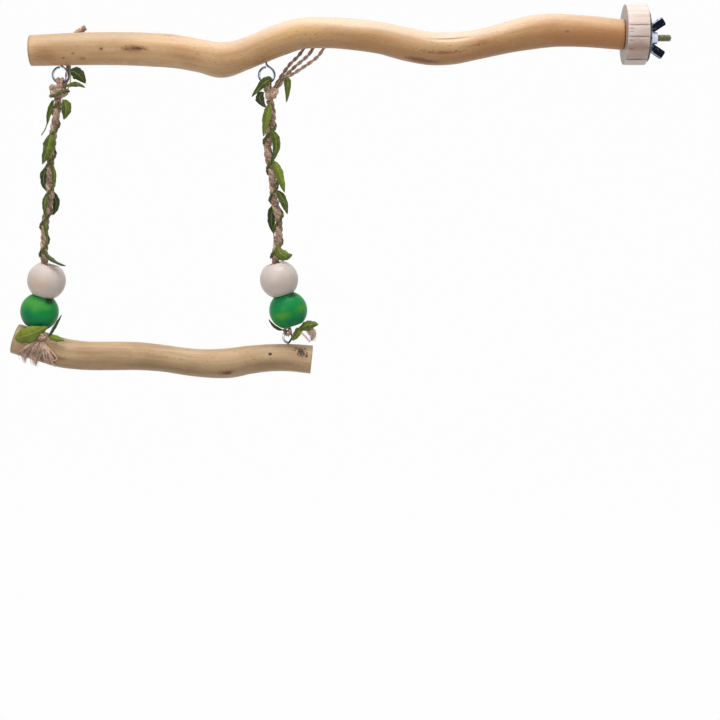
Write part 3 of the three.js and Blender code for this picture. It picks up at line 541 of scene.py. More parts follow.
BRANCH = Stick(-12.3, -326.3, 8.7, 0.0, 1.6, 20.0, [
    (0, 1.8, 0.93), (0.066, 3.7, 0.98), (0.118, 4.3, 1.04), (0.158, 3, 1.05), (0.197, 0.2, 0.96),
    (0.246, -3.4, 0.94), (0.292, -5.7, 1.02), (0.323, -5.7, 1.04), (0.36, -3.6, 1.03), (0.405, 0, 0.99),
    (0.451, 2, 0.98), (0.506, 3.1, 0.97), (0.545, 2.4, 0.96), (0.579, -0.9, 0.99), (0.612, -5.2, 0.99),
    (0.643, -9.1, 1.01), (0.677, -11.6, 1.1), (0.71, -9.7, 1.04), (0.744, -7.7, 1.03), (0.8, -6.2, 1.05),
    (0.893, -5.7, 1.01), (1, -6.6, 0.98),
])
BAR = Stick(-352.2, 167.8, 8.05, -178.0625, 0.0, 0.0, [
    (0, 11.3, 1.05), (0.07, 7.6, 1.05), (0.16, 3, 1.04), (0.235, 1.5, 1.01), (0.32, 1.3, 1),
    (0.41, 1.1, 0.98), (0.5, -0.2, 0.96), (0.585, -2.2, 0.98), (0.655, -3.1, 1.01), (0.715, -2.9, 1.04),
    (0.79, -0.9, 0.99), (0.87, 0.3, 0.96), (0.94, 0.1, 0.97), (1, -0.9, 0.99),
])


# The clamp disc's radius, its middle's height over the bolt, the bolt hole's radius and inner end
DISC, DISC_RISE, HOLE, HOLE_END = 16.5, 2.0, 2.3, -32.6
SPLIT = (126, 84, 68)


def on_disc(q, reach, long, width, shade=SPLIT, strength=0.7):
    """A mark on the clamp disc's side, mostly a split, q degrees forward from its crest, reach along from its
    middle.
    """
    return circles(reach, DISC, radians(q), (0, DISC_RISE)), (long, width, width), 0.5, 0.4, shade, strength


SCORCH, KNOT_BROWN, SOOT_AND_HOLE_SHADE, AMBER = (88, 44, 12), (150, 96, 40), (42, 22, 8), (184, 118, 58)
# Rows: x and degrees forward from the crest, size, raggedness, softness, colour and strength
BRANCH_MARKS = BRANCH.marks([
    # The next three rows are painted light: a highlight along the crest, a shade along the underside and a
    # shade that dims the crest near the left end.
    (-140, 10, 110, 6.4, 6.4, 0.5, 0.8, (232, 216, 194), 0.68),
    (-110, 142, 90, 7, 7, 0.5, 0.7, (166, 106, 50), 0.6),
    (-306, 18, 36, 8.5, 8.5, 0.4, 0.6, (180, 154, 120), 0.6),
    # Partly painted shade: an amber tone of the wood by the disc, laid on the underside to darken it.
    (-22, 138, 34, 10.5, 10.5, 0.2, 0.7, AMBER, 0.72),
    (-280.6, 90, 6.8, 1.8, 2.2, 0.9, 0.4, KNOT_BROWN, 0.75),
    (-278.6, 90, 4.4, 0.6, 1.2, 1.3, 0.2, SCORCH, 0.9),
    (-279.8, 86, 2.6, 0.35, 1, 1.2, 0.2, SCORCH, 0.8),
    (-283.8, 93, 2.2, 0.35, 1, 1, 0.2, SCORCH, 0.7),
    # A pin hole drawn as a near-black dot: painted shade inside the hole.
    (-298.3, 92, 0.62, 0.62, 0.8, 0.2, 0.2, SOOT_AND_HOLE_SHADE, 1),
    (-298.3, 92, 1.7, 1.4, 1.4, 0.4, 0.5, KNOT_BROWN, 0.35),
    (-222.5, 96, 4, 0.5, 1.4, 0.5, 0.5, (226, 190, 120), 0.5),
    (-191, 78, 13, 4, 4, 0.6, 0.7, (218, 168, 92), 0.4),
    (-150, 96, 20, 3.4, 3.4, 0.6, 0.7, (196, 140, 80), 0.35),
    (-70, 104, 22, 3, 3, 0.6, 0.7, (186, 130, 70), 0.35),
    (-107, 54, 14, 0.45, 0.6, 0.5, 0.4, (138, 84, 36), 0.65),
    (-106, 62, 15, 0.8, 0.9, 0.5, 0.5, (240, 214, 172), 0.55),
    (-113, 104, 10, 0.8, 0.8, 1.5, 0.4, (132, 78, 30), 0.65),
    (-92, 92, 5, 0.5, 0.8, 1.5, 0.4, (148, 92, 40), 0.6),
    (-122, 143, 8, 1.8, 1.8, 0.9, 0.4, (112, 60, 18), 0.85),
    (-90, 84, 2.4, 0.5, 1.4, 0.9, 0.4, (150, 106, 62), 0.5),
    (-44, 97, 1.4, 0.5, 1, 0.6, 0.4, (150, 98, 54), 0.7),
    (-262, 22, 3.4, 1.1, 1.1, 0.8, 0.5, (168, 122, 76), 0.5),
    (-330, 112, 6, 3.4, 3.4, 0.9, 0.7, (150, 100, 50), 0.45),
    (-314, 108, 0.9, 0.5, 0.7, 0.6, 0.4, SCORCH, 0.6),
    (-319.5, 124, 0.8, 0.5, 0.7, 0.6, 0.4, SCORCH, 0.6),
    (-309, 128, 2, 0.9, 0.9, 0.9, 0.5, (130, 80, 36), 0.5),
])
BRANCH_MARKS.append(((-BRANCH.length, 0, 0), (1.1, 14, 14), 0.15, 0.6, (158, 112, 70), 0.6))
BAR_MARKS = BAR.marks([
    (-207.4, 66, 3.2, 2, 2, 0.3, 0.6, (206, 176, 132), 0.4),
    (-207.4, 66, 1, 0.95, 1, 0.3, 0.15, (44, 14, 6), 1),
    # Painted shade: a long darker band along the lower front of the bar.
    (-262, 130, 80, 5, 5, 0.5, 0.7, (142, 108, 70), 0.4),
    (-232.8, 121, 5, 1.7, 1.7, 0.6, 0.5, KNOT_BROWN, 0.6),
    (-232.4, 123, 2.4, 1, 1, 0.8, 0.4, SCORCH, 0.85),
    (-190.8, 42, 2.6, 1.4, 1.4, 3, 0.2, SOOT_AND_HOLE_SHADE, 0.9),
    (-190, 58, 2, 1.8, 1.8, 2.6, 0.2, SOOT_AND_HOLE_SHADE, 0.9),
    (-187.4, 68, 0.6, 1.1, 0.8, 0.6, 0.3, (84, 44, 26), 0.9),
    (-207.2, 86, 0.6, 0.4, 0.5, 0.3, 0.3, SCORCH, 0.7),
    (-208, 110, 14, 2.4, 2.4, 0.8, 0.6, (134, 106, 76), 0.4),
    (-260, 120, 26, 1.6, 1.6, 0.9, 0.6, (134, 104, 70), 0.4),
    (-300, 70, 22, 1, 1.4, 0.9, 0.6, (158, 124, 84), 0.3),
    (-327, 104, 5, 1.2, 1.4, 0.9, 0.5, (116, 70, 30), 0.5),
])
BAR_MARKS.append((NIL, (0.7, 14, 14), 0.1, 0.5, (112, 92, 74), 0.7))
DISC_MARKS = [on_disc(*row) for row in (
    (73.5, 0, 7, 0.3), (81.5, -4, 1.5, 0.26, SPLIT, 0.6), (87, -4.4, 1.2, 0.26, SPLIT, 0.6),
    (95.6, 0.4, 7, 0.32), (103, -4, 1.6, 0.26, SPLIT, 0.6), (117, 0, 8, 2.2, (180, 138, 116), 0.55),
    # The row at 126 degrees is painted shade: a broad darker patch low on the front of the side.
    (120, -4.2, 1.6, 0.4), (126, 0, 9, 6, (170, 128, 106), 0.5), (146.5, -0.5, 7, 0.5, (104, 64, 52), 0.9),
    (-60, 0, 7, 0.3), (200, 1, 7, 0.4),
)]
# Patches on the beads, at 40 mm of lay for each bead's number
WHITE_MARKS = [
    ((38, -9.5, -1), (7, 4, 4.5), 0.2, 0.8, (216, 184, 162), 0.6),
    ((121, -9.5, -2), (7, 4, 4.5), 0.2, 0.8, (214, 188, 168), 0.5),
]
YELLOW_GREEN, TEAL, BORE_SHADOW = (92, 168, 44), (0, 104, 84), (26, 52, 24)
GREEN_MARKS = [
    ((76.5, -7.5, 5), (6, 5, 3.6), 0.3, 0.8, YELLOW_GREEN, 0.55),
    ((83, -7, 4.5), (4, 4, 1.4), 0.4, 0.8, YELLOW_GREEN, 0.4),
    ((81.5, -7, -7), (8, 6, 4.6), 0.3, 0.8, TEAL, 0.65),
    ((75, -9, -1.6), (2.6, 3, 3.6), 0.3, 0.8, TEAL, 0.5),
    ((156.5, -9.5, -1.2), (4.4, 4, 1.9), 0.4, 0.8, YELLOW_GREEN, 0.75),
    ((168, -5.5, -0.4), (4, 5, 1.9), 0.4, 0.8, YELLOW_GREEN, 0.6),
    ((162.5, -8, -5.4), (5, 4, 1.7), 0.4, 0.8, TEAL, 0.6),
    ((156, -8, 6), (5, 5, 2.2), 0.4, 0.8, TEAL, 0.35),
    ((84.9, -5.6, 7.8), (2.4, 2.6, 1.7), 0.3, 0.3, BORE_SHADOW, 0.8),
    ((165.3, -5.2, 7.7), (3, 3, 0.9), 0.3, 0.3, BORE_SHADOW, 0.8),
]

BRANCH_WOOD = wood(
    "peeled branch wood", (226, 186, 136), (192, 142, 90), BRANCH_MARKS, contrast=1.05, flecked=0.75,
)
BAR_WOOD = wood(
    "weathered bar wood", (214, 181, 136), (168, 131, 88), BAR_MARKS, 0.5, 0.9, 0.22, flecked=0.55,
)
# Its end of 0.76 darkens both flat faces: painted shade.
DISC_WOOD = wood("pale turned wood", (242, 226, 216), (212, 180, 162), DISC_MARKS, 0.5, 1.2, 0.2, 0.76)
WHITE_BEAD = wood("whitewashed bead wood", (228, 215, 205), (212, 195, 184), WHITE_MARKS, 0.4, 0.5, 0.04)
GREEN_BEAD = wood(
    "green stained bead wood", (10, 162, 72), (0, 124, 60), GREEN_MARKS, 0.25, 0.8, 0.04, gloss=0.22,
)
BRIGHT_ZINC = metal("bright zinc wire", (214, 220, 230), (70, 78, 94), 0.22)
DARK_ZINC = metal("dark blued zinc", (200, 210, 226), (20, 25, 36), 0.3)
YELLOW_ZINC = metal("yellow zinc thread", (196, 194, 164), (92, 92, 70), 0.3)
JUTE = yarn("natural jute", (240, 206, 180), (116, 82, 60))
# A lighter copy of the jute for the loose tuft: painted light that offsets the shade its fibres cast on each
# other.
PAINTED_LIGHT_JUTE = yarn("loose jute fibre", (250, 226, 208), (168, 130, 104))
VINE = yarn("green leaf string", (132, 138, 66), (48, 58, 24))
LEAF_CLOTH, shader, lay, tint = finish("green leaf cloth", Specular_IOR_Level=0.3, Sheen_Weight=0.1)
printed = dict(Light=paint((142, 158, 44)), Dark=paint((28, 44, 10)), Vein=paint((160, 174, 80)))
dress(LEAF_CLOTH, shader, *use(LEAF, Lay=lay, Tint=tint, **printed), 0.12)


def stick_shell(stick, count, sides, bumps, bored=False):
    """The stick's whole skin. Radius = girth + slow waves round and along + one bell for each bump,
    a bump being x, degrees from the crest, half lengths along and round (mm) and height. The ends
    are eased over a quarter circle, and each cut runs in to the pith, or down the bolt's hole."""
    ease = 0.5
    direction = np.sign(stick.length)
    far = stick.start + stick.length
    arc = np.linspace(0, np.pi / 2, 4)
    inset, less = ease * (1 - sin(arc)), -ease * (1 - cos(arc))
    saw = np.array([0.985, 0.9, 0.75, 0.6, 0.45, 0.3, 0.15, 0.04])
    inside = np.linspace(stick.start + direction * ease, far - direction * ease, count)
    x = np.concatenate([
        stick.start + 0 * saw, stick.start + direction * inset[:0:-1], inside,
        far - direction * inset[1:], far + 0 * saw,
    ])[:, None]
    less = np.concatenate([0 * saw - ease, less[:0:-1], 0 * inside, less[1:], 0 * saw - ease])[:, None]
    factor = np.concatenate([saw[::-1], np.ones(3 + count + 3), saw])[:, None]
    q = around(sides)[None, :]
    run = np.abs(x - stick.start)
    waves = 0.09 * sin(0.105 * run + 1.3 + 1.7 * sin(q)) + 0.07 * sin(2 * q + 0.047 * run + 0.6)
    waves = waves + 0.045 * sin(3 * q - 0.071 * run + 2.0) + 0.03 * sin(5 * q + 0.13 * run)
    waves = waves + 0.022 * sin(9 * q - 0.19 * run) * sin(0.33 * run + 2 * q)
    for at, degrees, long, wide, height in bumps:
        across = apart(q, degrees) * stick.radius
        waves = waves + height * np.exp(-(((x - at) / long) ** 2) - ((across / wide) ** 2))
    radius = (stick.middle(x)[1] + less + waves) * factor
    rings = coat(stick.skin(x, q, radius), stick.lay(x, q, radius), factor < 1)
    if bored:
        at, r = np.array([(HOLE_END, 2.0), (HOLE_END, HOLE), (stick.start, HOLE)]).T[..., None]
        bore = circles(at, r, q)
        rings = np.concatenate([coat(bore, bore, 1.0), rings[3:]])
    return shell(rings)


piece(
    "crooked_branch",
    [stick_shell(BRANCH, 560, 120, [
        (-279.0, 90, 6.5, 2.6, 0.28), (-277.0, 90, 2.4, 1.0, -0.35), (-101.0, 38, 13.0, 1.6, -0.30),
        (-262.0, 20, 5.0, 3.0, 0.30), (-122.0, 152, 5.0, 1.8, -0.22), (-233.0, 178, 7.0, 4.0, 0.35),
        (-205.0, 60, 9.0, 5.0, 0.2), (-60.0, 110, 10.0, 4.0, 0.2), (-150.0, 130, 8.0, 4.0, 0.22),
    ], bored=True)],
    BRANCH_WOOD, "perch", ["perch_branch"],
)
piece(
    "swing_bar_wood",
    [stick_shell(BAR, 300, 112, [
        (-205.9, 66, 2.2, 1.8, 0.16), (-230.0, 121, 2.0, 1.2, -0.3), (-190.5, 44, 3.0, 1.5, -0.2),
        (-260.0, 60, 10.0, 4.0, 0.2), (-310.0, 120, 9.0, 4.0, 0.2), (-228.0, 200, 8.0, 4.0, 0.25),
    ])],
    BAR_WOOD, "bar", ["swing_bar"],
)


# Clamp


def disc_shell():
    """A slice of round wood with the bolt's hole off its middle: circles whose centre moves from the
    hole's to the disc's as their radius grows; the side has slow waves and narrow splits."""
    thick, ease = 12, 0.6
    flat = DISC - ease - HOLE
    arc = np.linspace(0, np.pi / 2, 5)
    face = HOLE + flat * np.linspace(0, 1, 12)
    edge_r, edge_x = DISC - ease * (1 - sin(arc)), -ease * (1 - cos(arc))
    side = np.linspace(-ease, -thick + ease, 26)[1:-1]
    inner = np.linspace(-thick, 0, 6)[1:-1]
    x = np.concatenate([0 * face, edge_x[1:], side, -thick - edge_x[:0:-1], -thick + 0 * face, inner])
    r = np.concatenate([face, edge_r[1:], 0 * side + DISC, edge_r[:0:-1], face[::-1], 0 * inner + HOLE])
    x, r = x[:, None], r[:, None]
    q = around(200)[None, :]
    waves = 0.06 * sin(4 * q + 0.5) + 0.05 * sin(7 * q + 0.3 * x) + 0.03 * sin(23 * q)
    for degrees, depth in ((75, 0.22), (97, 0.3), (123, 0.2), (145, 0.32), (-60, 0.25), (200, 0.25)):
        waves = waves - depth * np.exp(-((apart(q, degrees) * DISC / 0.3) ** 2))
    share = np.clip((r - HOLE) / flat, 0, 1)
    r = r + np.clip((r - 12) / 3, 0, 1) * waves
    rings = circles(x, r, q, (0, DISC_RISE * share))
    return shell(coat(rings, rings + (6, 0, 0), (np.abs(x + 6) > 5.9) & (r < 16.2)), looped=True)


piece("pale_clamp_disc", [disc_shell()], DISC_WOOD, "perch", ["clamp_disc"])

arc = np.linspace(-np.pi / 2, np.pi / 2, 7)
outer_edge = joined(0.8 + 0.5 * sin(arc), 13.5 + 0.5 * cos(arc))
inner_edge = joined(0.8 - 0.35 * sin(arc), 3.75 - 0.35 * cos(arc))
x, r = np.concatenate([outer_edge, inner_edge]).T[..., None]
washer = circles(x, r, around(96), (0, 1.0))
piece(
    "flat_washer", [shell(coat(washer, washer, 0.36), looped=True)],
    DARK_ZINC, "clamp_washer", ["steel_washer"],
)


def blade_shell(side):
    """A wing: round-cornered sections |a|^4 + |b|^4 = 1 along a leaning middle line, their width
    drawn in at the outer end by a quarter circle, with low ribs across the flat. The inner edge,
    the ribs' crests and the root by the hub have painted highlights: their plate is lighter."""
    q = around(44)
    length, half, thick = 7.5, 2.45, 1.1
    run = -1.2 + (length + 1.2) * np.linspace(0, 1, 40)[:, None]
    close = np.clip((run - (length - 0.9)) / 0.9, 0, 1)
    less = 1 - np.sqrt(np.clip(1 - close ** 2, 0, 1))
    across = (half - 0.9 * less) * np.sign(cos(q)) * np.abs(cos(q)) ** 0.5
    through = (thick - 0.45 * less) * np.sign(sin(q)) * np.abs(sin(q)) ** 0.5
    ribs = sin(across * 4.2) * np.clip(run / 2, 0, 1) * (1 - close)
    through = through + 0.12 * np.sign(sin(q)) * ribs * (np.abs(sin(q)) > 0.4)
    lean = radians(33)
    base = np.array((1.6 + half * 0.8, 0.0, 5.4))
    along = np.array((cos(lean), 0, sin(lean)))
    aside = np.array((-sin(lean), 0, cos(lean)))
    rings = base + run[..., None] * along + across[..., None] * aside + through[..., None] * BACK
    # Painted highlights: the inner edge, the ribs' crests and the root are lighter.
    clean_and_highlight = 0.06 + 0.24 * np.clip((across / half - 0.4) / 0.3, 0, 1) + 0.5 * np.clip(ribs - 0.4, 0, 1)
    clean_and_highlight = clean_and_highlight + 0.22 * np.clip(1 - run / 3.5, 0, 1)
    return shell(coat(rings * (1, 1, side), rings, clean_and_highlight))


hub_profile = np.array([
    (1.6, 2.3), (1.6, 4.3), (1.75, 4.5), (2.9, 4.5), (3.4, 4.2), (4.3, 3.45), (4.8, 3.3), (6.1, 3.3),
    (6.4, 3.1), (6.4, 2.55), (6.2, 2.3), (5.6, 2.15), (5.2, 2.3), (4.8, 2.15), (4.4, 2.3), (4.0, 2.15),
    (3.6, 2.3), (3.2, 2.15), (2.8, 2.3), (2.4, 2.15), (2.0, 2.3),
])
x, r = hub_profile.T[..., None]
hub = circles(x, r, around(64))
# Painted highlight: a lighter band round the hub towards its outer end.
clean_and_highlight = 0.45 + 0.75 * np.exp(-(((x - 5.2) / 1.6) ** 2))
piece(
    "cast_wing_nut", [shell(coat(hub, hub, clean_and_highlight), looped=True), blade_shell(1), blade_shell(-1)],
    DARK_ZINC, "clamp_nut", ["wing_nut"],
)


def bolt_shell():
    """A threaded rod about X: radius 1.78 plus 0.2 times a wave of x over the pitch less the turn,
    drawn in to the flat at the outer end and to a point in the wood."""
    inner, outer, pitch = -32.3, 14.0, 0.7
    x = np.linspace(inner, outer, 560)[:, None]
    q = around(28)
    wave = np.abs(((x / pitch - q / TURN) % 1) - 0.5) * 4 - 1
    ends = np.minimum(np.clip((x - inner) / 4, 0.03, 1), np.clip((14.6 - x) / 1.2, 0, 1))
    rings = circles(x, (1.78 + 0.2 * wave) * ends, q)
    return shell(coat(rings, rings, 0.45 + 0.25 * wave))


piece("threaded_hanger_bolt", [bolt_shell()], YELLOW_ZINC, "perch", ["hanger_bolt"])


# Screw eyes


def eye_shell(place, ring, wire, shank, lean=0.0, yaw=0.0, down=False):
    """Bent wire: a shank on the eye's axis, then a ring from 56 to -266 degrees about its middle, its
    end tucked behind the shank, with a thread cut in the shank; turned, leaned and set at its place.
    The plate has painted highlights: it is lighter along two opposite lines on the wire."""
    top = ring + wire + 0.3 + shank
    turn = radians(np.arange(56, -266.1, -6))
    tuck = 1.35 * wire * np.linspace(0, 1, len(turn)) ** 12
    stem = [(0, 0, top), (0, 0, (top + ring) / 2 + 1), (0.1, 0, ring + wire + 0.5)]
    line = route(np.concatenate([stem, joined(ring * cos(turn), 2 * tuck, ring * sin(turn))]), 220)
    run = distance(line)
    in_wood = line[:, 2] > ring + wire + 1.0
    radius = wire - np.where(in_wood, 0.12 * (0.5 + 0.5 * sin(run * TURN / 1.1)), 0)
    radius = radius * np.clip((run[-1] - run) / 0.4 + 0.45, 0, 1)
    rings = pipe(line, radius, 14, BACK)
    # Painted highlights: the tint peaks along two opposite lines round the wire, with a slow wave along it.
    rings[..., 6] = 0.16 + 0.75 * np.abs(cos(around(14) - 0.7)) ** 5 + 0.14 * sin(run[:, None] * 1.1)
    spots = rings[..., :3]
    if down:
        spots = spots * (1, -1, -1)
    c, s = cos(radians(yaw)), sin(radians(yaw))
    spots = leaned(spots @ np.array([(c, -s, 0), (s, c, 0), (0, 0, 1)]).T, lean)
    return shell(np.concatenate([spots + place, rings[..., 3:]], axis=-1))


for name, place, size, turns, body in (
    ("branch_eye_left", (-322.3, 0, -19.9425), (4.22, 0.68, 10), {}, "perch"),
    ("branch_eye_right", (-208.5, 0, -19.9425), (4.22, 0.68, 10), {}, "perch"),
    ("bar_eye_left", (-339.2476, 0, -157.4318), (3.3, 0.6, 8), dict(lean=14, down=True), "bar"),
    ("bar_eye_right", (-198.0, 0, -165.8194), (3.3, 0.6, 8), dict(yaw=45, down=True), "bar"),
):
    piece(f"wire_{name}", [eye_shell(place, *size, **turns)], BRIGHT_ZINC, body, [name])


# Beads


def bead_shell(centre, degrees, seed, domed):
    """A bored ball: its outline runs round the ball, over an eased rim, across a flat and down the
    bore, and is turned about its own leaning axis. A domed bead has no flat at the top."""
    ball, bore = 10.75, 5.0
    arc = np.linspace(1.035 if domed else 0.955, -0.955, 44)
    out = joined(ball * cos(arc), ball * sin(arc))
    rim = np.array([(6.02, 8.86), (5.85, 8.9), (5.45, 8.88), (5.2, 8.78), (5.03, 8.55), (5.0, 8.2)])
    lip = np.array([(5.36, 9.28), (5.22, 9.25), (5.1, 9.12), (5.03, 8.9), (5.0, 8.6), (5.0, 8.2)])
    bore_wall = joined(bore, np.linspace(-7.6, 7.6, 6))
    r, h = np.concatenate([out, rim * (1, -1), bore_wall, (lip if domed else rim)[::-1]]).T[..., None]
    q = around(96)
    r = r + 0.04 * sin(2 * q + seed) * sin(h / 4) + 0.03 * sin(3 * q + 2 * seed)
    local = joined(r * cos(q), r * sin(q), h)
    return shell(coat(leaned(local, degrees) + centre, local + (seed * 40, 0, 0), 0.0), looped=True)


for name, centre, lean, seed, material, slot in (
    ("left_white_bead", (-333.4052, 0, -133.9991), 14, 1.0, WHITE_BEAD, "pale_bead_wood"),
    ("left_green_bead", (-337.784, 0, -151.5615), 14, 2.0, GREEN_BEAD, "green_bead_wood"),
    ("right_white_bead", (-202.5422, 0, -133.2653), -16, 3.0, WHITE_BEAD, "pale_bead_wood"),
    ("right_green_bead", (-197.5532, 0, -150.6641), -16, 4.0, GREEN_BEAD, "green_bead_wood"),
):
    side, colour, _ = name.split("_")
    ball = bead_shell(centre, lean, seed, colour == "white")
    piece(f"turned_{name}", [ball], material, f"{side}_bead_{colour}", [name])


# Cords


def wobble(run, seed, size=1.0):
    """A smooth uneven wave along a run: three sines of unlike length, phases by seed."""
    phase = np.random.default_rng(seed).uniform(0, TURN, 3)
    return size * (sin(run * 0.9 + phase[0]) + sin(run * 2.1 + phase[1]) + sin(run * 0.37 + phase[2])) / 3


def rope(line, radius, plies, pitch, guide, seed, tint=0.5, sides=12):
    """Yarns laid round a line: each yarn's middle stands off it and goes once round in each pitch."""
    run = distance(line)
    radius = np.broadcast_to(radius, run.shape)
    one = radius / (2.0 if plies == 2 else 2.155)
    stand = radius - one
    side, over = axes(line, guide)
    shells = []
    for i in range(plies):
        angle = TURN * (run / pitch + i / plies)
        away = cos(angle)[:, None] * side + sin(angle)[:, None] * over
        thick = one * (1.1 + wobble(run, seed * 10 + i, 0.10))
        look = dict(spin=-1.4, seed=seed + i * 0.37, tint=tint + 0.16 * (i - (plies - 1) / 2))
        shells.append(shell(pipe(line + stand[:, None] * away, thick, sides, away, **look)))
    return shells


def hairs(line, radius, count, length, thick, seed, tint=0.75):
    """Loose fibres off a cord: each leaves its surface at a random place and bends along and down."""
    pick = np.random.default_rng(seed)
    run = distance(line)
    at = pick.uniform(0, run[-1], count)
    base = along_run(at, run, line)[:, None]
    along = along_run(at, run, np.gradient(line, run, axis=0))
    out = unit(np.cross(along, unit(pick.normal(size=(count, 3)))))
    size = length * pick.uniform(0.35, 1.0, (count, 1, 1))
    t = np.linspace(0, 1, 6)[None, :, None]
    curl = unit(pick.normal(size=(count, 3)))[:, None, :]
    spread = np.interp(at, run, np.broadcast_to(radius, run.shape))[:, None, None]
    lean = pick.uniform(-1, 1, (count, 1, 1))
    path = base + out[:, None] * (spread * 0.85 + size * t * (1 - 0.3 * t)) + along[:, None] * size * lean * t
    path = path + curl * size * 0.28 * sin(np.pi * t) - UP * size * 0.15 * t * t
    taper = thick * (1 - 0.7 * np.linspace(0, 1, 6))
    guide = unit(np.cross(out, along) + 0.01)[:, None, :]
    seeds, tints = pick.uniform(0, 1, count), pick.uniform(tint - 0.3, tint + 0.3, count)
    return shell(pipe(path, taper, 4, guide, seed=seeds, tint=tints))


# Each cord's middle: first and last z, and x at equal steps of z, to a tenth of a millimetre
LEFT_ROUTE = -33.265, -150.93, [
    -323.9, -324.8, -325.8, -327.1, -327.8, -328.7, -329.3, -329.6, -329.9, -329.8, -330.9, -332.6, -333.3,
    -333.8, -334.2, -334.2, -334.4, -335.2, -336.1, -336.8, -337.6,
]
RIGHT_ROUTE = -34.09, -159.105, [
    -206.8, -205.8, -206.1, -207.5, -208.2, -207.9, -206.5, -205.7, -205.3, -204.6, -202.9, -202.4, -202.6,
    -203.8, -204.6, -204.1, -202.9, -201.7, -200.5, -199.2, -198,
]


def leaf_string(line, seed):
    """Two-ply string wound once round the cord in each pitch: cord middle + 2.45 mm (-sin a, -cos a),
    a little uneven. Returns its shells and its line."""
    pitch, below_knot, length = 16, 1.5, 86.5
    down = line[0, 2] - line[:, 2] - below_knot
    keep = (down >= 0) & (down <= length)
    line, down = line[keep], down[keep]
    angle = TURN * (down - 1) / pitch
    reach = 2.45 + wobble(down, seed, 0.25)
    wound = line + reach[:, None] * joined(-sin(angle), -cos(angle), 0)
    wound = route(wound[::4], 420)
    away = unit(wound - along_run(wound[:, 2], line[::-1, 2], line[::-1]))
    return rope(wound, 0.85, 2, 3.8, away, seed, sides=8), wound


cords = {}
for side, (high, low, across), seed in (("left", LEFT_ROUTE, 3), ("right", RIGHT_ROUTE, 5)):
    path = joined(across, 0, np.round(np.linspace(high, low, len(across)), 1))
    line = route(path, 300)
    body = f"{side}_hanger"
    shells = rope(line, 2.1 + wobble(distance(line), seed + 70, 0.2), 3, 11.0, FRONT, seed)
    made = piece(f"{side}_hanger_cord", shells, JUTE, body, [f"{side}_cord"])
    fuzz = [hairs(line[10:250], 2.0, 420, 1.3, 0.05, seed + 20)]
    fuzz = piece(f"{side}_cord_fuzz", fuzz, JUTE, body)
    string, wound = leaf_string(route(path, 500), seed + 40)
    string.append(hairs(wound, 0.6, 120, 0.8, 0.035, seed + 60, 0.5))
    wrap = piece(f"{side}_wound_leaf_string", string, VINE, body, [f"{side}_leaf_string"])
    cords[side] = (made, line, wrap, fuzz)


def knot_shells(centre, semi, thick, seed, tilt=0.0, tint=0.5):
    """An overhand knot drawn up tight: the trefoil (sin t + 2 sin 2t, -sin 3t, cos t - 2 cos 2t)
    pressed into an ellipsoid, with three thinner coils about it, over a lumpy core."""
    t = np.linspace(0.4, 0.4 + TURN, 150)
    reach = np.array(semi) - thick
    trefoil = joined((sin(t) + 2 * sin(2 * t)) / 3, -sin(3 * t), (cos(t) - 2 * cos(2 * t)) / 3)
    line = leaned(trefoil * reach * (1.05, 0.95, 1.05), tilt)
    shells = rope(line + centre, thick, 3, 6.0, unit(line + 1e-3), seed, tint)
    turn = np.linspace(0, TURN, 90)
    for lean, drop, shade in ((24, -0.42, 0.75), (-30, 0.05, 0.6), (8, 0.5, 0.45)):
        wide = np.sqrt(1 - drop ** 2)
        coil = leaned(joined(wide * cos(turn), wide * sin(turn), 0.06 * sin(3 * turn + seed)), lean)
        coil = coil * (reach * (0.98, 1.0, 1.0)) + (0, 0, drop * reach[2])
        shells += rope(coil + centre, thick * 0.62, 2, 3.0, UP + 0.01, seed + lean + 40, shade, sides=8)
    p, q = np.linspace(0.02, np.pi - 0.02, 26)[:, None], around(40)[None, :]
    lump = 1 + 0.06 * sin(5 * p + 2 * q) + 0.05 * sin(7 * q + 3 * p)
    core = lump[..., None] * joined(sin(p) * cos(q), sin(p) * sin(q), cos(p))
    core = core * (np.array(semi) * (0.62, 0.56, 0.62)) + centre
    shells.append(shell(coat(core, core * (1, 2, 1), tint - 0.2)))
    shells.append(hairs(line + centre, thick, 140, 1.4, 0.045, seed + 9))
    return shells


def ring_loop(centre, along, radius, thick, seed, drop=0.0, tint=0.6):
    """A turn of cord round a wire: a closed oval about the wire's run, drawn down by drop."""
    t = np.linspace(0, TURN, 80)[:, None]
    along = unit(np.array(along, float))
    out = unit(np.cross(along, UP))
    over = np.cross(out, along)
    high = np.where(cos(t) > 0, cos(t), cos(t) * (1 + drop))
    line = centre + radius * (sin(t) * out + high * over)
    return rope(line, thick, 2, 3.2, along + 0.01, seed, tint, sides=10)


LEFT_TURN, RIGHT_TURN = np.array((-322.6, 0, -24.1625)), np.array((-208.2, 0, -24.1625))
LEFT_KNOT, RIGHT_KNOT = LEFT_TURN + (-1.3, 0, -5.0), RIGHT_TURN + (1.9, 0, -5.4)
LEFT_FOOT, RIGHT_FOOT = np.array((-338.4493, 0, -154.2298)), np.array((-198.0, 0, -162.5194))
RIGHT_FOOT_KNOT = np.array((-193.1833, 0, -161.7187))
LEFT_FOOT_KNOT = np.array((-335.1, -8.2996, -164.201))


def ring_hitch(side, knot, ring, first, slant, seed, tint):
    """A knot with two turns of its cord round the ring's wire, aslant to each other."""
    shells = knot_shells(*knot)
    shells += ring_loop(ring + (first, 0, 0), (1, 0, slant), 2.15, 0.95, seed, 0.9)
    shells += ring_loop(ring + (0.9, 0, 0), (1, 0, -slant), 2.15, 0.95, seed + 1, 0.9, tint)
    piece(f"{side}_ring_hitch", shells, JUTE, f"{side}_hitch", [f"{side}_top_hitch"])


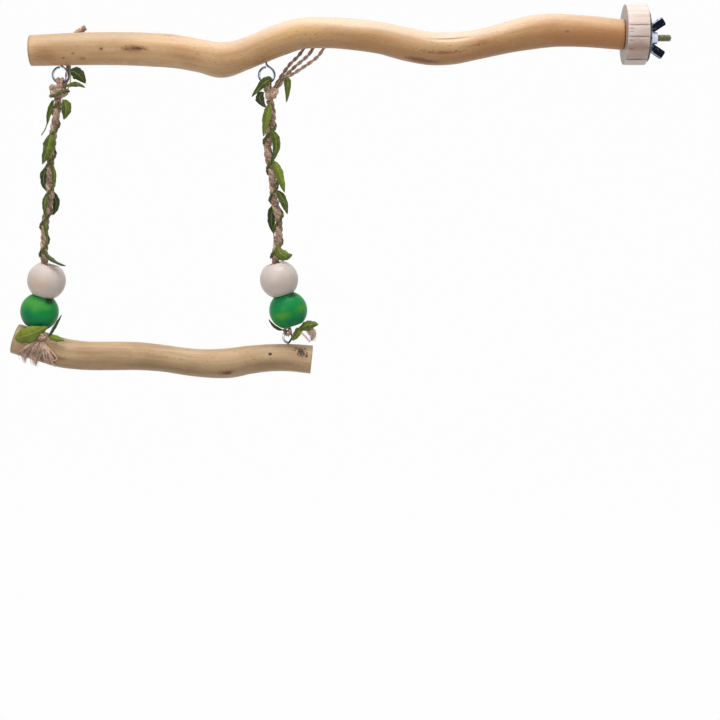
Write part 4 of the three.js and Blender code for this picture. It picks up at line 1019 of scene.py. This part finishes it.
ring_hitch("left", (LEFT_KNOT, (5.9, 4.4, 3.9), 1.5, 7, 20, 0.72), LEFT_TURN, -0.9, 0.1, 8, 0.75)
over_knot = route([
    (-327.8, -2.2, -31.6), (-326.4, -4.6, -31.4), (-323.6, -5.4, -30.8), (-320.8, -5.0, -29.2),
    (-318.6, -3.4, -28.2), (-318.0, -1.0, -29.0),
], 90)
shells = rope(over_knot, 0.9, 2, 3.6, UP + 0.01, 44, sides=8)
piece("leaf_string_on_knot", shells, VINE, "left_hitch")
ring_hitch("right", (RIGHT_KNOT, (4.2, 3.8, 4.4), 1.4, 12, 16, 0.85), RIGHT_TURN, -0.8, -0.1, 13, 0.7)

shells = ring_loop(LEFT_FOOT, (0.9703, 0, -0.2419), 2.1, 1.0, 16)
piece("left_lower_loop", shells, JUTE, "left_hanger", ["left_foot_loop"])

shells = ring_loop(RIGHT_FOOT, (0.7071, 0.7071, 0), 2.25, 1.0, 17)
shells += knot_shells(RIGHT_FOOT_KNOT + (1.9, 0, -0.2), (2.5, 2.7, 1.9), 0.8, 18, tilt=-16, tint=0.7)
piece("right_lower_hitch", shells, JUTE, "right_hanger", ["right_foot_hitch"])

shells = knot_shells(LEFT_FOOT_KNOT, (3.0, 2.4, 2.6), 0.95, 19, tilt=30, tint=0.65)
piece("left_lower_knot", shells, JUTE, "bar", ["left_foot_knot"])


# Loose ends


def frayed(line, radius, count, seed, thick=0.1, flare=1.6, tints=(0.2, 1.0)):
    """A cord's untwisted end: fibres that follow the line side by side and part towards its tip."""
    pick = np.random.default_rng(seed)
    k = len(line)
    t = np.linspace(0, 1, k)[None, :, None]
    side, over = axes(line, BACK + 0.1 * UP)
    angle = pick.uniform(0, TURN, (count, 1, 1))
    reach = np.sqrt(pick.uniform(0, 1, (count, 1, 1)))
    width = np.broadcast_to(radius, (k,))[None, :, None] * (1 + (flare - 1) * t ** 2)
    wound = angle + 2.2 * t * pick.uniform(0.4, 1.0, (count, 1, 1))
    path = line + width * reach * (cos(wound) * side + sin(wound) * over)
    path = path + 0.3 * sin(7 * t + angle) * side + 0.25 * sin(9 * t + 2 * angle) * over
    size = thick * pick.uniform(0.6, 1.5, (count, 1)) * (1 - 0.5 * t[..., 0])
    seeds, tints = pick.uniform(0, 1, count), pick.uniform(*tints, count)
    return shell(pipe(path, size, 5, BACK + 0.05 * UP, seed=seeds, tint=tints))


def loose_end(name, shells, hitch, start, end, replaced):
    """A loose end that bends between the hitch it leaves and the branch behind which it ends."""
    tail = piece(name, shells, JUTE, None)
    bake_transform(tail, "perch", hitch, start=tuple(start * MM), end=tuple(end * MM))
    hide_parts(replaced)


line = route([
    (-321.7, 5.2, -27.6), (-320.3, 9.4, -21.2), (-318.9, 10.0, -12.0), (-317.4, 11.6, -3.4),
    (-313.6, 7.4, 3.4), (-309.2, 8.4, 6.0),
], 150)
widths = np.interp(np.linspace(0, 1, 150), [0, 0.2, 0.9, 1], [0.9, 1.4, 1.6, 1.6])
shells = rope(line, widths, 3, 15.0, BACK + 0.2 * UP, 21)
shells += [hairs(line, 1.4, 130, 1.4, 0.045, 22), frayed(line[120:], 1.1, 90, 23, 0.13, 1.25)]
loose_end("left_loose_end", shells, "left_hitch", line[75], line[5], "left_top_tail")

for i, (across, rise, top) in enumerate(((16.2, 21.8, 26.0), (21.4, 21.8, 26.0), (27.0, 21.4, 25.5))):
    steps = np.array([
        (1.4 + i * 0.6, 2.2 - i * 0.7, 2.0 - i * 0.4), (4.4 + i * 1.2, 4.2 - i * 1.0, 7.2 - i * 0.3),
        (across * 0.6, 7.0, rise * 0.68 - i * 0.8), (across, 10.0, rise), (across + 2.6, 11.4, top),
    ])
    line = route(RIGHT_KNOT + steps, 120)
    shells = rope(line, 0.98, 2, 8.5, BACK + 0.2 * UP, 30 + i, 0.4 + 0.12 * i, sides=10)
    shells += [hairs(line, 0.95, 110, 1.1, 0.04, 35 + i), frayed(line[104:], 0.6, 24, 38 + i)]
    name = f"right_loose_end_{i + 1}"
    loose_end(name, shells, "right_hitch", line[95], line[4], f"right_top_tail_{i + 1}")


def on_wood(x, degrees, lift):
    """Places over the bar's surface: middle + (girth + lift), degrees forward from the crest."""
    centre, girth = BAR.middle(x)
    return centre + circles(0, girth + lift, radians(degrees))


def fringe_shells():
    """The untwisted end over the bar: strands from the knot fan out along X as they go forward and
    down, (1 - t) of the knot's place and t of their own, waving as they go, each lifted a little."""
    shells = []
    t = np.linspace(0, 1, 34)[None, :]
    for count, thick, seed, high, reach in ((44, 0.42, 51, 1.1, 1.0), (130, 0.15, 52, 1.6, 1.08)):
        pick = np.random.default_rng(seed)
        aside = pick.uniform(-1, 1, (count, 1))
        long = pick.uniform(0.55, reach, (count, 1))
        wave = pick.uniform(0, TURN, (count, 1))
        x = -336.0 - 4.0 * t * long + (1.6 + 10.4 * (t * long) ** 0.7) * aside + 0.8 * sin(5 * t + wave) * t
        turn = 62 + (80 + 8 * np.abs(aside)) * t * long + 4 * sin(6 * t + 2 * wave) * t
        lift = 0.35 + thick + high * sin(np.pi * t) * pick.uniform(0.1, 1, (count, 1)) + 0.15 * t
        path = on_wood(x, turn, lift)
        size = thick * pick.uniform(0.7, 1.25, (count, 1)) * (1 - 0.45 * t)
        seeds, tints = pick.uniform(0, 1, count), pick.uniform(0.2, 1.2, count)
        out = unit(path - BAR.middle(x)[0])
        shells.append(shell(pipe(path, size, 6, out, spin=-2.5, seed=seeds, tint=tints)))
    # Tufts that hang off the fan's edge
    pick = np.random.default_rng(53)
    count = 100
    root_x = pick.choice([-345.8, -340.0], count)[:, None] + pick.normal(0, 0.9, (count, 1))
    s = np.linspace(0, 1, 12)[None, :]
    fall = joined(0.9 * sin(3 * s + root_x) * s, -0.8 * s * s, -s * pick.uniform(4.0, 6.4, (count, 1)))
    path = on_wood(root_x, 118.0, 0.8) + fall
    tints = pick.uniform(0.2, 0.9, count)
    shells.append(shell(pipe(path, 0.13 * (1 - 0.4 * s), 5, BACK + 0.1 * ACROSS, tint=tints)))
    # Two strands that come back in a loop
    for points in (
        [
            (-335.2, 62, 1.2), (-331.4, 76, 1.3), (-328.2, 92, 1.2), (-327.0, 106, 1.0), (-328.8, 114, 1.0),
            (-333.0, 116, 1.2),
        ],
        [(-335.2, 68, 1.5), (-332.6, 84, 1.7), (-330.0, 97, 1.5), (-329.2, 108, 1.2), (-332.0, 115, 1.2)],
    ):
        line = route(on_wood(*np.array(points).T), 70)
        shells += rope(line, 0.42, 2, 2.6, BACK + 0.1 * UP, 54 + len(points), 0.95, sides=7)
    return shells


piece("frayed_cord_end", fringe_shells(), JUTE, "bar", ["left_foot_fringe"])

steps = np.array([(3.2, 0.0, 0.2), (6.4, -0.4, 0.4), (9.4, -1.0, -2.4), (9.0, -1.0, -6.2)])
line = route(RIGHT_FOOT_KNOT + steps, 30)
bloom = np.interp(np.linspace(0, 1, 30), [0, 0.3, 0.6, 1], [0.6, 1.2, 2.4, 0.7])
# The tuft's fibres are tinted up and dressed in the lighter jute copy: painted light against their own shade.
shells = [frayed(line, bloom, 150, 61, 0.12, 1.15, (0.4, 1.7))]
shells.append(hairs(line[10:30], 1.7, 150, 1.7, 0.06, 63, 1.2))
shells += rope(line[:12], 0.7, 2, 4.0, BACK + 0.1 * UP, 62, 0.7, sides=8)
for low in (0.0, 0.9):
    steps = np.array([(1.8, -2.6, -0.6), (4.6, -3.8, -2.2 - low), (7.9, -3.6, -6.2 - 0.5 * low)])
    shells += rope(route(RIGHT_FOOT_KNOT + steps, 40), 0.36, 2, 3.4, BACK + 0.1 * UP, 64, 1.3, sides=7)
piece("right_frayed_tuft", shells, PAINTED_LIGHT_JUTE, "right_hanger", ["right_foot_tail"])


# Leaves

# Rows: base, bend and tip of the midrib, width, way the face looks, share of the length that is
# stem, tone from 0 dark to 1 light, then cupping and twist in degrees where they aren't usual.
LEFT_LEAVES = [
    ((-316.4, -3.2, -17.8), (-311.4, -5.8, -18.2), (-308.2, -3.2, -24.6),
     7.6, (-0.28, -0.94, 0.19), 0, 0.12, 0.15),
    ((-319.9, -2.2, -27.1), (-314.4, -4.2, -22.8), (-308.3, -4, -26.8), 3.4, (0, -0.93, 0.37), 0.12, 0.45),
    ((-321, -3.8, -33.4), (-316.9, -7.4, -36.6), (-320.1, -6.4, -44.2), 6.8, (0, -1, 0), 0.05, 0.35),
    ((-326.8, 0.8, -33.6), (-329.8, 1.4, -40), (-330.9, 2.6, -47.2), 3.2, (0.3, -0.95, 0), 0.02, 0.55),
    ((-328.2, -3.8, -51.6), (-327.6, -7, -56), (-332.6, -6.4, -68.6), 7.6, (-0.09, -1, 0), 0.05, 0.4, 0.5),
    ((-331.6, 2.4, -70.4), (-336.4, 3, -77), (-331.6, 2.6, -84.6), 5.8, (-0.3, -0.95, 0), 0.02, 0.15),
    ((-328.5, -2.8, -68), (-325.3, -4, -75), (-327.9, -4, -83.2), 3, (0.29, -0.96, 0), 0.02, 0.45, 0.25, 15),
    ((-330.1, -3.8, -84), (-333.5, -6.4, -88.4), (-331.5, -5.6, -98.4), 3.4, (-0.09, -1, 0), 0.12, 0.35),
    ((-330.6, 2.8, -83.4), (-324.6, 3, -90), (-329.4, 2.8, -97.4), 5, (0.3, -0.95, 0), 0.02, 0.1),
    ((-333.3, -3.8, -100), (-331.7, -6.2, -103.4), (-331.3, -5.6, -110.6), 2.8, (-0.09, -1, 0), 0.12, 0.4),
    ((-334.2, -2.6, -115.6), (-330.1, -7.1, -122.2), (-321.2, -7.1, -124.9),
     3.9, (0.51, -0.51, 0.69), 0.02, 0.2),
    ((-349.9, -10.2, -165.4), (-343, -11.6, -163.6), (-331.4, -10, -158.9), 9.6, (0, -1, 0.1), 0, 0.62, 0.1),
    ((-331.9, -8.3, -164.2), (-327.7, -10.1, -164.6), (-322.7, -9.1, -166.8),
     4.6, (0, -0.8, 0.6), 0.05, 0.66),
    ((-331, -8.9, -164), (-328, -7.9, -159.2), (-324.1, -7.3, -152.4), 2.2, (0, -1, 0), 0, 0.1, 0.3),
]
RIGHT_LEAVES = [
    ((-206.4, -3.7, -27.4), (-203.8, -7.4, -16.2), (-216.6, -5.2, -31.8), 5.6, (0, -1, 0), 0.25, 0.3),
    ((-210.2, -1.2, -29.4), (-215.2, -3.4, -32), (-208.8, -3.6, -37.6), 6, (-0.29, -0.96, 0), 0.02, 0.12),
    ((-203.1, -1.6, -27.2), (-194.8, -2.4, -13.2), (-197.6, -2.6, -34.8), 4.6, (0, -1, 0), 0.4, 0.4),
    ((-206.4, -3.8, -35.4), (-208.4, -7, -41), (-210.2, -6.6, -53.4), 5.4, (-0.01, -1, 0), 0.03, 0.6),
    ((-206.5, -2.9, -50), (-200.7, -5.2, -55.4), (-205.3, -4.4, -67),
     5.4, (0.22, -0.98, 0), 0.02, 0.4, 0.25, 20),
    ((-204.9, -3.2, -66.6), (-201.9, -6.4, -72), (-198.9, -5.6, -84.2), 5.8, (0.22, -0.98, 0), 0.05, 0.62),
    ((-203.4, -3.2, -83), (-199.2, -6.2, -87), (-197.4, -5.6, -96.2), 5.2, (0.22, -0.98, 0), 0.05, 0.3),
    ((-204, 2.6, -90.4), (-209, 4, -98), (-205.4, 4, -108), 5.8, (-0.22, -0.98, 0), 0.02, 0),
    ((-203.6, -2.6, -114.4), (-201, -5.9, -121.6), (-194.8, -5.1, -118.8), 7.2, (0.22, -0.98, 0), 0, 0.5),
    ((-191.3, -2.4, -161.6), (-186, -3.8, -156.9), (-180.5, -2.8, -158.5), 6.4, (0, -0.85, 0.53), 0.02, 0.45),
    ((-191.2, -3.7, -160.6), (-192.4, -5.2, -163.8), (-195, -4.6, -167.4), 4.6, (0, -1, 0), 0, 0.6),
    ((-199.6, -2.6, -161.6), (-204.8, -3.4, -161.6), (-208.4, -2.4, -155.6),
     2.2, (0, -0.93, 0.37), 0.12, 0.1),
]
# Stalks that bend more than the midrib does
STALKS = {
    "left_leaf_1": [
        (-319.3, -2.9, -28.9), (-317.3, -3.4, -26.6), (-316.3, -3.8, -23.0), (-316.2, -3.4, -17.9),
    ],
    "left_leaf_4": [(-330.8, 2.5, -46.0), (-331.9, 2.8, -49.0), (-334.4, 3.0, -53.0)],
    "right_leaf_8": [(-205.6, 4.0, -106.6), (-205.4, 4.2, -111.0), (-205.6, 4.2, -115.4)],
}


def leaf_shell(base, bend, tip, width, face, stem, tone, seed, curl=0.25, twist=0):
    """A cut cloth leaf. Midrib: the parabola base (1-t)^2 + 2 bend t (1-t) + tip t^2. Half width:
    the stem's, plus sin(pi b^0.85)^0.8 where b is the share past the stem, drawn in by ragged scallops
    of up to a seventh that differ from side to side. Height off the midrib's plane:
    cupping times the square of the share across, a groove on the rib and a wave by the edge."""
    base, bend, tip = np.array((base, bend, tip), float)
    t = np.linspace(0, 1, 44)[:, None]
    middle = base * (1 - t) ** 2 + 2 * bend * t * (1 - t) + tip * t * t
    along = unit(2 * (bend - base) * (1 - t) + 2 * (tip - bend) * t)
    side = unit(np.cross(along, np.array(face)))
    angle = radians(twist * t)
    side = side * cos(angle) + np.cross(along, side) * sin(angle)
    over = np.cross(side, along)
    b = np.clip((t - stem) / (1 - stem), 0, 1)
    stalk = 0.8
    half = (stalk * (1 - 0.6 * t) + (width - stalk) * sin(np.pi * b ** 0.85) ** 0.8) / 2
    s = np.linspace(-1, 1, 17)[None, :]
    hand = np.sign(s)
    scallop = sin(19 * t + 9 * seed + 2.1 * hand) + 0.7 * sin(37 * t + 5 * seed - 1.3 * hand)
    grown = np.clip(b * 6, 0, 1) * np.clip((1 - b) * 6, 0, 1)
    wave = 0.05 * width * sin(13 * t + seed * 5 + 2 * s) * np.abs(s) ** 2
    groove = -0.16 * np.exp(-((s * half / 0.35) ** 2))
    ribs = 0.04 * sin(TURN * (9 * t - 3.2 * np.abs(s)))
    height = -curl * half * s * s + grown * (wave + groove + ribs)
    drawn = 1 - 0.08 * grown * (1 + scallop / 1.7) * np.abs(s) ** 3
    body = 0.13 * (1 - 0.5 * s ** 4) + 0.22 * (1 - grown) * (1 - np.abs(s) ** 2)
    aside = middle[:, None] + (s * drawn * half)[..., None] * side[:, None]
    top, low = (aside + (height + lift)[..., None] * over[:, None] for lift in (body, -body))
    rings = np.concatenate([top, low[:, ::-1]], axis=1)
    share = np.concatenate([s, s[:, ::-1]], axis=1)
    return shell(coat(rings, joined(b, share, seed), tone))


leaf_pieces = {"left": [], "right": []}
bodies = ["left_hitch"] * 2 + ["left_hanger"] * 9 + ["bar"] * 3 + ["right_hitch"] * 3 + ["right_hanger"] * 9
for number, (row, body) in enumerate(zip(LEFT_LEAVES + RIGHT_LEAVES, bodies)):
    side = "left" if number < len(LEFT_LEAVES) else "right"
    name = f"{side}_leaf_{len(leaf_pieces[side]) + 1}"
    seed = 0.31 * number + 0.1
    shells = [leaf_shell(*row[:7], seed, *row[7:])]
    if name in STALKS:
        stalk = pipe(route(STALKS[name], 24), 0.34, 8, BACK + 0.1 * ACROSS)
        stalk[..., 3:6] = (0, 0, seed)
        shells.append(shell(stalk))
    leaf = piece(f"cloth_{name}", shells, LEAF_CLOTH, body, [name], sharp=80)
    leaf_pieces[side].append(leaf)

for side, (made, line, wrap, fuzz) in cords.items():
    mine = [leaf for leaf in leaf_pieces[side] if body_of(leaf) == body_of(made)]
    tuple(line[0] * MM)
    [tuple(p) for p in line * MM]


# Floor, backdrop and light


def sweep():
    """One curved sheet: a flat floor that turns up in a quarter circle into a wall."""
    corner, low, bend_radius = 900, -420, 500
    turn = np.linspace(0, np.pi / 2, 24)
    flat = joined(np.linspace(-2600, corner, 12), low)
    bend = joined(corner + bend_radius * sin(turn), low + bend_radius * (1 - cos(turn)))
    wall = joined(corner + bend_radius, np.linspace(low + bend_radius, 2600, 9)[1:])
    y, z = np.concatenate([flat, bend[1:], wall]).T
    grid = joined(np.linspace(-3200, 3000, 20)[:, None], y, z).reshape(-1, 3)
    i, j = np.meshgrid(np.arange(19), np.arange(len(y) - 1), indexing="ij")
    a = (i * len(y) + j).ravel()
    mesh = bpy.data.meshes.new("studio_sweep")
    mesh.from_pydata(grid * MM, [], joined(a, a + len(y), a + len(y) + 1, a + 1))
    mesh.shade_smooth()
    made = bpy.data.objects.new("studio_sweep", mesh)
    scene.collection.objects.link(made)
    return made


def seen(tree):
    """1 where the camera looks, straight or by way of a mirror or glass, 0 for the light's own rays."""
    kinds = ("Camera", "Glossy", "Transmission")
    camera, glossy, through = (node("LightPath", f"Is {kind} Ray", tree) for kind in kinds)
    return step("MAXIMUM", camera, step("MAXIMUM", glossy, through))


paper = bpy.data.materials.new("white sweep")
paper.use_nodes = True
tree = paper.node_tree
tree.nodes.remove(tree.nodes["Principled BSDF"])
mottle = noise(node("TexCoord", "Object", tree), 3.0)
matt = node("BsdfDiffuse", Color=blend(mottle, (0.52, 0.52, 0.52, 1), (0.56, 0.56, 0.56, 1)))
glow = node("Emission", 0, tree, Color=WHITE, Strength=1.0)
mixed = node("MixShader", i0=seen(tree) * 0.98, i1=matt, i2=glow)
tree.links.new(mixed.socket, tree.nodes["Material Output"].inputs[0])
floor = sweep()
floor.data.materials.append(paper)

world = bpy.data.worlds.new("soft studio")
world.use_nodes = True
tree = world.node_tree
tree.nodes.clear()
high = node("SeparateXYZ", "Z", Vector=node("TexCoord", "Generated", tree))
air = blend(span(high, -0.4, 0.7), paint((176, 172, 168)), paint((240, 244, 255)))
soft = node("Background", Color=air, Strength=0.46)
white = node("Background", 0, tree, Color=WHITE, Strength=1.0)
mixed = node("MixShader", i0=seen(tree), i1=soft, i2=white)
tree.links.new(mixed.socket, tree.nodes.new("ShaderNodeOutputWorld").inputs[0])
scene.world = world


def lamp(name, place, aim, size, power, tone):
    """A round soft lamp that looks from its place at its aim."""
    light = bpy.data.lights.new(name, "AREA")
    light.shape, light.size, light.energy, light.color = "DISK", size, power, tone
    made = bpy.data.objects.new(name, light)
    made.location = place
    x, y, z = np.array(place) - np.array(aim)
    made.rotation_euler = (np.arctan2(np.hypot(x, y), z), 0, np.arctan2(x, -y))
    scene.collection.objects.link(made)


lamp("top softbox", (-0.2, -0.15, 1.0), (-0.17, 0.0, -0.1), 1.0, 11.5, (1.0, 1.0, 1.0))
lamp("front softbox", (-0.8, -1.35, 0.35), (-0.25, 0.0, -0.1), 0.9, 5.4, (1.0, 0.99, 0.98))
lamp("side softbox", (0.9, -0.9, 0.6), (-0.1, 0.0, -0.05), 0.7, 0.7, (0.97, 0.98, 1.0))
